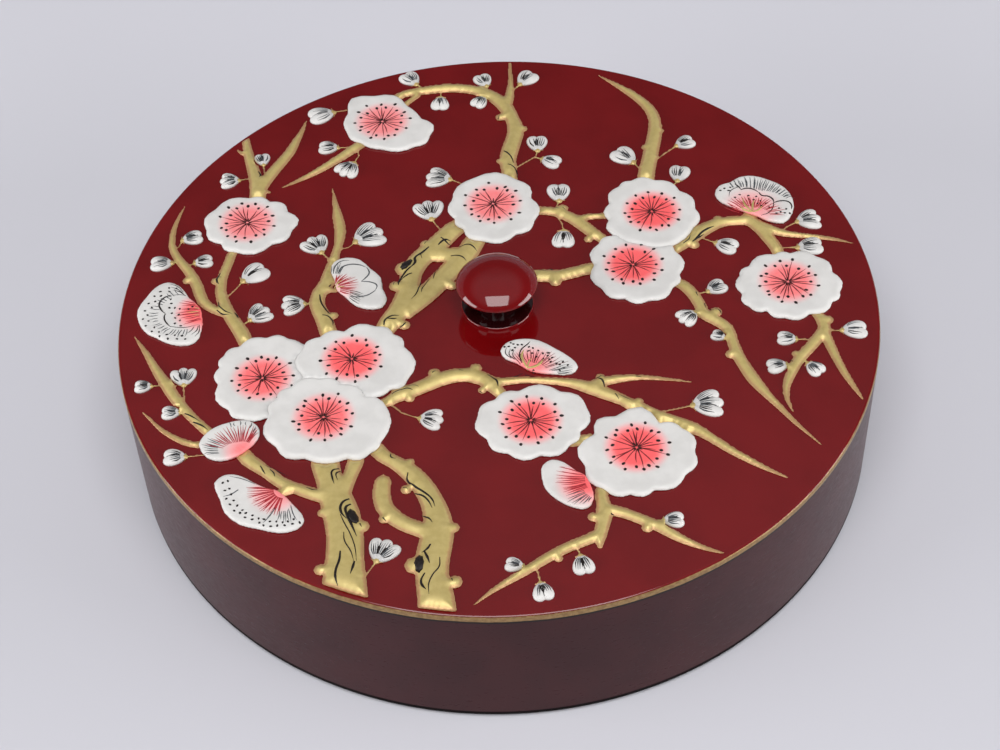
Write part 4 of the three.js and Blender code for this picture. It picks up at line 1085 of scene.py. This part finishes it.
def brush_lines(strokes):
    """Strokes (half width, points) as tapering tubes in the plane of height 0."""
    data = bpy.data.curves.new("brush", "CURVE")
    data.dimensions = "3D"
    data.bevel_depth = MM
    data.bevel_resolution = 1
    data.resolution_u = 4
    data.use_fill_caps = True
    for width, points in strokes:
        spline = data.splines.new("BEZIER")
        last = len(points) - 1
        spline.bezier_points.add(last)
        for i, (knot, (x, y)) in enumerate(zip(spline.bezier_points, points)):
            knot.co = Vector((x, y, 0)) * MM
            knot.handle_left_type = knot.handle_right_type = "AUTO"
            knot.radius = width * (FIRST_TAPER if i == 0 else LAST_TAPER if i == last else 1)
    lines = bpy.data.objects.new("brush", data)
    mesh = bpy.data.meshes.new_from_object(lines)
    bpy.data.objects.remove(lines)
    return mesh


def painted(name, under, strokes=(), dots=()):
    """Paints strokes (ink, half width, points) and dots (ink, x, y, length, width, heading)."""
    bm = bmesh.new()

    def tint_from(first, shade):
        bm.faces.ensure_lookup_table()
        for face in bm.faces[first:]:
            face.material_index = shade

    for shade in range(len(INKS)):
        mine = [(width, points) for tint, width, points in strokes if tint == shade]
        if mine:
            first = len(bm.faces)
            bm.from_mesh(brush_lines(mine))
            tint_from(first, shade)
    for shade, x, y, length, width, heading in dots:
        place = (
            Matrix.Translation(Vector((x, y, 0)) * MM)
            @ Matrix.Rotation(math.radians(heading), 4, "Z")
            @ Matrix.Diagonal((length / 2 * MM, width / 2 * MM, width / 2 * MM, 1))
        )
        first = len(bm.faces)
        bmesh.ops.create_uvsphere(bm, u_segments=8, v_segments=4, radius=1, matrix=place)
        tint_from(first, shade)
    trees = [ground(surface) for surface in under]
    for vert in bm.verts:
        above = Vector((vert.co.x, vert.co.y, 0.1))
        hits = [tree.ray_cast(above, Vector((0, 0, -1)))[0] for tree in trees]
        level = max([hit.z for hit in hits if hit] + [LID_FACE * MM])
        vert.co.z = level + vert.co.z * INK_FLATNESS + INK_LIFT * MM
    return piece(name, bm, "lid", None, INKS)


# %% [markdown]
# ## Stamens
# Every open blossom has a dark star in its middle, fine crimson threads that run outwards, and a
# ring of dots, the anthers. No two are alike, so each blossom draws its own angles and reaches
# from a random generator with a fixed seed, which gives the same blossom every time.

# %% Stamens of the open blossoms
ANTHERS = 24
THREADED = 0.86  # the share of the anthers that have a thread
STAR_POINTS = 9
THREAD = 0.23
INNER_RING = 9.0
OUTER_RING = 11.6

for number, (x, y, _) in STAMENS.items():
    rng = random.Random(number)
    middle = Vector((x, y))
    strokes, dots = [], []
    start = rng.uniform(0, 14)
    for i in range(ANTHERS):
        angle = start + 360 / ANTHERS * i + rng.uniform(-4, 4)
        ring = INNER_RING if i % 2 else OUTER_RING
        reach = ring + rng.uniform(-0.9, 0.9)
        tip = middle + headed(angle) * reach
        tilt = angle + rng.uniform(-30, 30)
        dots.append((BLACK, tip.x, tip.y, rng.uniform(1.4, 1.85), rng.uniform(1.1, 1.4), tilt))
        if rng.random() < THREADED:
            start_at = middle + headed(angle) * 0.8
            half = middle + headed(angle) * reach * 0.5 + headed(angle + 90) * rng.uniform(-0.35, 0.35)
            end = middle + headed(angle) * (reach - rng.uniform(0.4, 2.2))
            strokes.append((CRIMSON, THREAD * rng.uniform(0.8, 1.2), [start_at, half, end]))
    for i in range(STAR_POINTS):
        angle = 360 / STAR_POINTS * i + rng.uniform(-10, 10)
        line = [middle + headed(angle) * reach for reach in (0.5, 1.4, rng.uniform(2, 3.4))]
        strokes.append((BLACK, rng.uniform(0.24, 0.34), line))
    painted(f"blossom_{number}_stamens", [f"blossom_{number}"], strokes, dots)

# %% [markdown]
# ## Painting on the blossoms seen from the side
# A blossom seen from the side shows its petals as shells: veins fan out from the stem, a line marks
# where one petal ends on another, and dots stand in rows near the rim. Two helpers draw what
# repeats, a fan of strokes and a row of dots. How far they reach is given at their first, middle
# and last heading. Single strokes are rows of ink, half width, x, y, x, y.

# %% Fans and rows
def reach_at(reaches, share):
    return float(np.interp(share, (0, 0.5, 1), reaches))


def turn_at(rng, headings, share):
    return headings[0] + (headings[1] - headings[0]) * share + rng.uniform(-1.5, 1.5)


def fan(rng, tint, width, base, headings, count, near, far):
    """Strokes that spread from a base, between two headings."""
    strokes = []
    for i in range(count):
        share = i / (count - 1)
        turn = turn_at(rng, headings, share)
        first = Vector(base) + headed(turn) * reach_at(near, share)
        last = Vector(base) + headed(turn) * (reach_at(far, share) * rng.uniform(0.9, 1.04))
        bend = headed(turn + 90) * rng.uniform(-0.35, 0.35)
        line = [first, (first + last) / 2 + bend, last]
        strokes.append((tint, width * rng.uniform(0.8, 1.2), line))
    return strokes


def row(rng, base, headings, count, reach):
    """Dots along an arc round a base, alternately nearer and farther."""
    places = []
    for i in range(count):
        share = i / (count - 1)
        way = headed(turn_at(rng, headings, share))
        out = reach_at(reach, share) + (i % 2) * 1.9 + rng.uniform(-0.4, 0.4)
        places.append(Vector(base) + way * out)
    return specks(rng, places)


def specks(rng, places):
    """Small dots of uneven size."""
    return [
        (BLACK, x, y, rng.uniform(1.0, 1.35), rng.uniform(0.75, 0.95), rng.uniform(0, 180))
        for x, y in places
    ]


def pairs(*values):
    """Places from x, y, x, y."""
    return list(zip(values[::2], values[1::2]))


def lines_of(*rows):
    return [(tint, width, pairs(*values)) for tint, width, *values in rows]


def side_painting(side, strokes, dots=()):
    painted(f"side_blossom_{side}_strokes", [f"side_blossom_{side}"], strokes, dots)


# %% Left blossom, seen from the side
rng = random.Random(21)
strokes = lines_of(
    (BLACK, 0.16, -123, 11.2, -127, 12, -130.5, 11.8),
    (BLACK, 0.34, -130.2, 12, -133, 10.5, -134.4, 7.4, -133.4, 4.3, -131.6, 2.1),
    (BLACK, 0.3, -131.6, 2.1, -131.9, 0, -130.6, -3.3, -128.8, -5.4),
    (BLACK, 0.18, -129.2, -5, -123.8, -6.1, -117.8, -4.8),
    (BLACK, 0.2, -124.8, 12, -127.5, 15, -130.5, 16.5),
    (BLACK, 0.2, -124.3, 11.4, -127, 13.8, -129.6, 14.8),
    (BLACK, 0.2, -125.2, 13.4, -127.8, 16.8, -131, 18.2),
    (BLACK, 0.2, -118, -5.5, -118.5, -8, -120.5, -10.2),
    (BLACK, 0.2, -119.6, -5.8, -120.7, -8, -122.7, -9.6),
    (BLACK, 0.18, -117.6, -5, -117.6, -8.5, -119, -11.2),
)
strokes += fan(rng, CORAL, 0.26, (-104, 2.5), (165, 198), 12, (14, 14, 14), (22.5, 24, 21))
strokes += fan(rng, GREY, 0.2, (-121, 2), (122, 262), 24, (12, 13.8, 9), (16, 17.5, 12.8))
strokes += fan(rng, GOLD, 0.3, (-104, 2.5), (176, 188), 3, (14.4, 14.4, 14.4), (18, 19, 18))
heart = pairs(
    -130, 9.8, -129.6, 7.5, -130.2, 5.2, -128, 5, -129, 2.2, -127.5, -0.5, -125.5, -2, -127.4, -3.5,
    -125, -5, -126, 4.3, -126.2, 1.2, -122.5, 3.8, -121, 5,
)
dots = specks(rng, heart) + row(rng, (-121, 2), (118, 262), 24, (15.5, 17.6, 12.2))
side_painting("left", strokes, dots)

# %% Inner left blossom, seen from the side
rng = random.Random(22)
strokes = lines_of(
    (GREY, 0.3, -63.4, 19.7, -62.5, 22.5, -60, 24.4, -55.6, 24.4, -51.9, 22.5),
    (GREY, 0.3, -51.9, 22.5, -50.9, 19.4, -52.5, 16.6, -54.1, 15.1),
    (GREY, 0.28, -54.1, 15.1, -50, 14.1, -47.8, 12.2, -48.4, 9.4),
    (GREY, 0.28, -48.4, 9.4, -51.3, 7.2, -55, 6.3, -58.8, 6.9),
    (GREY, 0.26, -65.4, 20, -64.6, 24, -62.4, 26.6, -59, 27),
    (GOLD, 0.42, -66.4, 11.6, -63.4, 12.4, -60.6, 12.2),
    (GOLD, 0.42, -66.4, 12, -63.6, 14.4, -61.8, 16),
)
strokes += fan(rng, CORAL, 0.24, (-66, 12), (72, -28), 15, (3.2, 3.2, 4), (8, 11.5, 9))
strokes += fan(rng, GREY, 0.2, (-66, 12), (94, 66), 7, (8, 8, 8), (13.5, 14.5, 13.5))
strokes += fan(rng, BLACK, 0.17, (-66, 13), (-22, -42), 6, (8, 9, 10), (14, 15, 15))
side_painting("inner_left", strokes)

# %% Low left blossom, seen from the side
rng = random.Random(23)
strokes = fan(rng, CORAL, 0.24, (-98, -71), (160, 55), 20, (7, 5, 5), (14, 14, 12))
strokes += fan(rng, GREY, 0.2, (-98, -71), (183, 150), 8, (8, 9, 9), (14.5, 15, 15))
strokes += fan(rng, GREY, 0.2, (-98, -71), (110, 60), 7, (13, 13, 9), (16, 15.4, 12))
side_painting("low_left", strokes)

# %% Front left blossom, seen from the side
rng = random.Random(24)
strokes = lines_of(
    (GREY, 0.28, -98, -89, -100.5, -91, -103.4, -92),
    (GREY, 0.28, -84, -98, -86, -101.8, -88.2, -105),
    (GREY, 0.2, -92, -86.6, -97, -84, -101.5, -82.6),
)
strokes += fan(rng, CORAL, 0.24, (-81, -90), (172, 262), 22, (4, 4, 4), (14, 12.5, 12))
strokes += fan(rng, GREY, 0.18, (-81, -90), (262, 290), 8, (10, 10, 8), (15, 16, 15))
dots = row(rng, (-81, -90), (166, 290), 30, (21.5, 15.6, 14.6))
side_painting("front_left", strokes, dots)

# %% Back right blossom, seen from the side
rng = random.Random(25)
strokes = lines_of(
    (BLACK, 0.34, 100.7, 61.5, 102.1, 59.7, 102.9, 57.9),
    (BLACK, 0.34, 102.9, 57.9, 105, 58.6, 107.9, 57.9, 110, 55.8),
    (BLACK, 0.34, 110, 55.8, 111.1, 54, 113.6, 53.3, 115.3, 51.2, 115.4, 49.3),
    (BLACK, 0.34, 115.4, 49.3, 118.2, 50.1, 121.4, 49.3, 122.5, 47.2, 122.1, 45.1),
    (BLACK, 0.22, 115.4, 49.3, 114.3, 45.6, 112, 43.1, 109.3, 42.2),
    (BLACK, 0.2, 102.1, 59.7, 98.6, 57.6, 97.4, 54), (GOLD, 0.5, 106, 44.6, 103.4, 49, 103, 53),
    (GOLD, 0.5, 106, 44.6, 103, 46, 101.4, 48), (GOLD, 0.5, 106.2, 44.6, 106.6, 48.6, 107.6, 51.8),
    (GOLD, 0.5, 106.4, 44.4, 108.8, 45.6, 110.6, 48),
)
strokes += fan(rng, GREY, 0.2, (106, 44), (27, 113), 32, (16.4, 13.8, 16.6), (20.3, 21.4, 21))
strokes += fan(rng, CORAL, 0.24, (106, 43), (-6, 150), 24, (7, 4, 6), (14, 10.5, 13))
anthers = pairs(
    102, 55, 105.5, 54.3, 105.5, 52.2, 107.4, 51.7, 110.1, 50.8, 108.7, 49.3, 110.1, 47.9,
    108.7, 53.6, 112.3, 49.2, 113.2, 46.8, 117.1, 45.8, 117.5, 43.6, 115.7, 42.9, 120, 45.1,
    119.1, 42.8, 121.2, 42.8, 99.9, 53.5, 96.1, 59, 97.7, 57.6, 98.6, 59.5, 94.3, 57.9,
)
side_painting("back_right", strokes, specks(rng, anthers))

# %% Middle blossom, seen from the side
rng = random.Random(26)
strokes = lines_of(
    (BLACK, 0.26, 8.2, -32.8, 7.6, -28.4, 8.7, -25.5, 10.9, -23.4, 12, -22),
    (BLACK, 0.2, 5.6, -31, 3.6, -28.4, 4.2, -25.4),
    (BLACK, 0.2, 4.4, -30.4, 2.2, -27.6, 2.8, -24.4), (BLACK, 0.18, 6.6, -31.6, 5, -28.6, 5.6, -26),
    (GOLD, 0.5, 10.2, -35.4, 8.9, -32, 8.4, -29, 9.3, -26.2),
    (GOLD, 0.6, 10.4, -35.6, 13, -35.2, 15.2, -33.6, 16.6, -31.6),
    (GOLD, 0.4, 10.4, -35.4, 11, -32.6, 12.2, -30.6),
)
strokes += fan(rng, CRIMSON, 0.17, (11.5, -38), (128, 18), 18, (6, 5, 6), (12, 12, 15))
strokes += fan(rng, GREY, 0.18, (14, -39.5), (22, 6), 6, (5, 7, 8), (12, 14, 14.5))
anthers = pairs(
    4.4, -22.3, 5.4, -23, 1.9, -24.2, 3.6, -24.2, 4.9, -26.2, 6, -24.9, 7.1, -23.5, 8.7, -23.5,
    11.1, -26.8, 11.4, -24.8, 12.9, -25.5, 12.5, -28, 14.9, -26.9, 14.1, -30, 16.6, -28.5,
    18.7, -28.4, 18.4, -29.8, 20.1, -30.9, 16.6, -31.2, 18.9, -31.6, 19.4, -33, 21.6, -34.1,
    24.1, -33.4, 22.8, -34.8, 24.3, -36.6, 25.9, -35.2, 12.6, -36.9, 22.6, -37.7,
)
side_painting("middle", strokes, specks(rng, anthers))

# %% Front blossom, seen from the side
rng = random.Random(27)
strokes = fan(rng, CORAL, 0.24, (38, -92), (158, 203), 16, (9, 9, 9), (19, 20, 17))
strokes += fan(rng, GREY, 0.2, (34, -95), (198, 238), 8, (6, 6, 6), (14, 13, 9))
side_painting("front", strokes)

# %% [markdown]
# ## Veins of the buds
# Dark strokes fan out from the foot of a bud along each petal, and one darker stroke lies in each
# crease.

# %% Bud strokes
VEINS = (-0.62, -0.3, 0.0, 0.32, 0.64)  # from one edge of a petal, -1, to the other, 1
LEFT_OUT = 0.2  # the share of veins that are left out
BLACK_VEINS = 0.45  # the share that is black, where the rest is grey

for name, buds in BUDS.items():
    strokes = []
    for k, bud in enumerate(buds):
        rng = random.Random(f"{name} {k}")
        foot = foot_of(bud)
        for middle, heading, length, width in petals_of(bud):
            way, across = axes_of(heading)
            for side in VEINS:
                if rng.random() < LEFT_OUT:
                    continue
                far = rng.uniform(0.7, 0.93)
                line = [
                    foot + way * 0.3 * length + across * side * width * 0.2,
                    foot + way * 0.5 * length + across * side * width * 0.38,
                    foot + way * far * length + across * side * width * 0.36,
                ]
                tint = BLACK if rng.random() < BLACK_VEINS else GREY
                strokes.append((tint, rng.uniform(0.18, 0.3), line))
        turns = sorted(FANS[bud[4]])
        for left, right in zip(turns, turns[1:]):
            crease = headed(bud[2] + (left + right) / 2)
            line = [foot + crease * bud[3] * share for share in (0.28, 0.5, 0.8)]
            strokes.append((BLACK, 0.26, line))
    painted(f"{name}_bud_strokes", [f"{name}_petals", name], strokes)

# %% [markdown]
# ## Bark
# On the boughs a few dark curved strokes suggest the bark, and three knots are dark ovals between
# claw-like strokes. They are placed one by one, because they follow the turns of each bough.

# %% Bark strokes and knots
BARK = {  # rows of half width, x, y, x, y
    "bough_front_left": [
        (0.36, -61.3, -80.3, -63.7, -82.5, -63.5, -86, -62.8, -88.8),
        (0.3, -60.3, -81.2, -62.2, -83.3, -61.6, -87),
        (0.5, -57.2, -95.4, -59.8, -98, -60.2, -101.5, -58, -105.2),
        (0.5, -56.6, -98, -58.4, -100, -58, -103, -56.3, -107.6, -54.3, -112.9),
        (0.22, -60.3, -103, -58.8, -107, -56.6, -112, -54.8, -118, -54.2, -124),
        (0.24, -58.9, -111.2, -58.6, -115, -56.2, -120, -55.1, -124.3),
        (0.48, -54.9, -124.2, -55.4, -126.5, -56.3, -129.8),
        (0.46, -60, -119.6, -60.3, -123.5, -61.4, -127.5, -61.6, -130.5, -60.8, -133.8),
        (0.5, -53.2, -107.3, -52.6, -108.6), (0.3, -90.4, -78.2, -89.4, -80.2, -88.5, -81.8),
        (0.34, -86.8, -79.6, -85.5, -81.2, -84.8, -83.6),
        (0.2, -88.5, -77.4, -84.5, -79.6, -80, -82.6), (0.34, -73, -89, -70.8, -90.2, -69, -90.6),
    ],
    "bough_front": [
        (0.32, -42.2, -74.8, -41.9, -77, -40.2, -77.6),
        (0.34, -35.8, -84.7, -36.1, -87.4, -33.2, -91, -30, -94.2, -27, -98, -26, -101.4),
        (0.3, -33.4, -93.6, -31, -95.1, -28.5, -98.2, -27, -102), (0.45, -37.6, -90.6, -36, -91.8),
        (0.32, -31, -103.8, -28.4, -106, -27, -108.6), (0.45, -45, -104.6, -43.8, -106),
        (0.5, -27.8, -118.3, -29, -120.2, -31, -121.4),
        (0.5, -30.2, -120.8, -29, -124, -28.2, -126.7),
        (0.44, -30, -130.8, -31.4, -133.5, -30.8, -136, -29.6, -137.8),
        (0.24, -24.6, -124.2, -24.8, -128, -27.4, -132.2, -28.7, -136, -28.6, -140),
        (0.5, -20.6, -132.8, -20.3, -134.4),
    ],
    "bough_middle": [
        (0.56, -26.8, 32.2, -29.5, 29.2, -32.4, 26.8, -32.4, 23.8, -34.4, 20.8),
        (0.56, -34.2, 21.2, -37.4, 17.8, -39, 14.8, -39.2, 11.8),
        (0.42, -33.7, 17.8, -36, 16.9, -38.2, 15.4), (0.36, -30.2, 28.4, -29.6, 26),
        (0.4, -22.9, 33.2, -21.5, 35.2, -20, 36.4, -17.8, 36.2),
        (0.4, -21.8, 37.4, -20, 35.7, -17.8, 33.9),
        (0.34, -14.5, 33.1, -11.5, 33, -9, 31.7, -7.3, 29.7),
        (0.3, -18, 26.5, -15, 26.4, -13, 25.4, -11.8, 23.9),
        (0.26, -22.8, 21.6, -24.5, 19.1, -25, 16.2, -25.3, 14.4),
        (0.26, -26.8, 15.6, -28.5, 12.1, -29.7, 9.2, -30, 6.7),
        (0.26, -30.3, 14.2, -31, 10.2, -32, 6.2, -34, 3.2),
        (0.44, -45, -8.9, -44.5, -7, -42.5, -5.5, -39, -5),
        (0.36, -43.5, -6.4, -41, -6.9, -39.8, -6.6), (0.3, -38.8, -10.4, -36.9, -9.3, -36.3, -7.8),
        (0.4, -41, 14.4, -41.2, 12.6), (0.34, -28.6, 35, -27.3, 36.7),
    ],
    "bough_front_right": [
        (0.42, -41.8, -45.4, -39.5, -43.6, -36.5, -43.2, -33.8, -44.2),
        (0.24, -37.4, -41, -33.8, -41.4, -31.4, -42.8), (0.5, -26.3, -35.4, -24.8, -34.6),
        (0.44, -16, -34.9, -14.2, -35.6), (0.42, -5, -37.4, -2.9, -39.6, -1.5, -42, -1.2, -44.3),
        (0.36, -8.3, -45.6, -7.3, -46.2), (0.24, 2.5, -38.9, 5.5, -38.4, 8.4, -36.9),
        (0.3, 9.4, -37.8, 12.6, -38.9), (0.24, 34.8, -41.8, 38, -41.2, 40.2, -40.6),
        (0.42, 37.2, -41.9, 38.8, -44, 39.3, -46.8), (0.4, 43, -50.6, 44.2, -53.4),
        (0.24, 44.2, -50.6, 47, -52.8, 49.2, -54.2), (0.4, 51.6, -41.7, 53.6, -42.2),
    ],
    "bough_low_right": [
        (0.5, 78.7, 1, 79.2, -1.2), (0.4, 81.4, -5, 81.8, -7.4), (0.34, 83.2, -8, 84.8, -9.4),
        (0.34, 85.2, -8.6, 87, -9.2, 87.6, -11),
    ],
    "bough_right": [
        (0.34, 76.2, 28.4, 78.4, 30.4, 79.6, 33),
        (0.36, 80, 28.9, 82, 31.4, 84.2, 34, 86.8, 36, 89.6, 37.5),
        (0.26, 81.4, 30.6, 83.2, 32, 85.2, 33.6),
    ],
    "bough_back": [
        (0.34, 5.6, 89.2, 7, 87, 8.8, 84.2, 9.6, 81.2),
        (0.34, 7, 79.8, 9.4, 78.8, 10.6, 76.4, 10.6, 72.6), (0.3, 3.9, 110, 4.8, 112.8),
    ],
    "bough_left": [
        (0.44, -111.2, 24, -112, 21.6, -112.2, 19.2, -111.4, 17.6),
        (0.26, -111.6, 21.6, -110.4, 21), (0.26, -111, 8, -110.4, 5, -108, 2, -105, 0.2),
        (0.26, -111.3, 3, -109, 1, -106, 0), (0.36, -104.2, 1.8, -103, -0.2, -102.6, -1.4),
    ],
    "bough_inner_left": [
        (0.38, -70.5, 8.6, -70, 5.1, -68, 1.1, -66, -1.9),
        (0.34, -69.2, -2.9, -67, -3.4, -65.3, -4.9, -65, -7.9), (0.42, -67, 13.4, -66.2, 14.9),
    ],
    "bough_beside_knob": [
        (0.3, 17.3, 17.2, 19, 17.5, 20.2, 16.6), (0.3, 20.6, 18.2, 22.2, 18.3, 23.4, 17.4),
    ],
    "bough_inner_right": [(0.36, 25.8, 53, 27, 52), (0.3, 28.6, 52.6, 30, 51.2)],
    "bough_back_left": [(0.4, -98.4, 83.6, -97.4, 81.6, -97.6, 79)],
    "twig_low_left": [
        (0.3, -120.4, -50.2, -117.5, -52.2, -114, -55),
        (0.36, -117, -54.6, -113.4, -57, -111.2, -58.8),
    ],
    "fork_right": [(0.4, 111.3, -36.6, 112.2, -37.8)],
    "twig_front_right": [(0.45, 37.4, -107.4, 38.6, -107.9)],
}
KNOTS = {
    "bough_front_left": [(-55.6, -104, 7.6, 3.7, 108)],
    "bough_front": [(-32, -126.1, 8.2, 3.7, 90)],
    "bough_middle": [(-36, 23.6, 7.4, 4.2, 62)],
}
for name, rows in BARK.items():
    strokes = lines_of(*((BLACK, *row) for row in rows))
    dots = [(BLACK, *knot) for knot in KNOTS.get(name, [])]
    painted(f"{name}_bark", [name], strokes, dots)

# %% [markdown]
# ## Floor, room and lamps
# The floor and a low wall round it are one pale sheet, a little darker in front, where more light
# falls. The lid is a mirror that shows the room behind the box, and it stays a deep red only
# because that part of the room is dark: the room is dim low down and lighter overhead. A soft lamp
# hangs high in front, so that the knob's cap keeps its neck in the dark, and two stand at the sides.

# %% Floor and room
def paper_finish():
    material, tree = finish_of("pale paper", Roughness=0.9, Specular_IOR_Level=0.1)
    sheet = blend(tree, pattern(tree, 6, 2), (0.62, 0.615, 0.66, 1), (0.64, 0.635, 0.68, 1))
    depth = span(tree, along(tree, "Y"), -0.4, 0.6)
    tint = blend(tree, depth, (0.93, 0.93, 0.93, 1), (1.09, 1.09, 1.09, 1))
    return wired(material, blend(tree, 1.0, sheet, tint, "MULTIPLY"))


FLOOR_RADIUS = 2300
COVE_HEIGHT = 1300
cove = [(0, 0), (FLOOR_RADIUS, 0), (FLOOR_RADIUS + 600, 250), (FLOOR_RADIUS + 800, COVE_HEIGHT)]
floor = linked("floor", mesh_of("floor", turned(cove, 96, closed=False)))
floor.data.shade_smooth()
floor.data.materials.append(paper_finish())

ROOM_LOW = (0.09, 0.09, 0.095, 1)
ROOM_HIGH = (0.34, 0.34, 0.36, 1)
world = bpy.data.worlds.new("room")
bpy.context.scene.world = world
world.use_nodes = True
sky = world.node_tree
room = blend(sky, span(sky, along(sky, "Z"), 0.58, 0.86), ROOM_LOW, ROOM_HIGH)
sky.links.new(room, sky.nodes["Background"].inputs["Color"])

# %% Lamps
def soft_lamp(name, place, size, power):
    """A rectangular lamp that faces the box."""
    data = bpy.data.lights.new(name, "AREA")
    data.shape = "RECTANGLE"
    data.size, data.size_y = size
    data.energy = power
    lamp = linked(name, data)
    lamp.location = place
    lamp.rotation_euler = (-Vector(place)).to_track_quat("-Z", "Y").to_euler()
    lamp.visible_camera = False


soft_lamp("lamp_front", (0, -0.93, 2.0), (1.7, 1.25), 34)
soft_lamp("lamp_left", (-1.6, -0.45, 0.42), (1.2, 0.8), 18)
soft_lamp("lamp_right", (1.6, -0.45, 0.42), (1.2, 0.8), 18)
bpy.context.scene.view_settings.view_transform = "Standard"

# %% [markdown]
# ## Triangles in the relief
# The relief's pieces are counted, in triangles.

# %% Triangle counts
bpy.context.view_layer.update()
quads = [len(made.data.polygons) for made in surfaces.values()]
print("triangles in the relief:", 2 * sum(quads), "most in one piece:", 2 * max(quads))
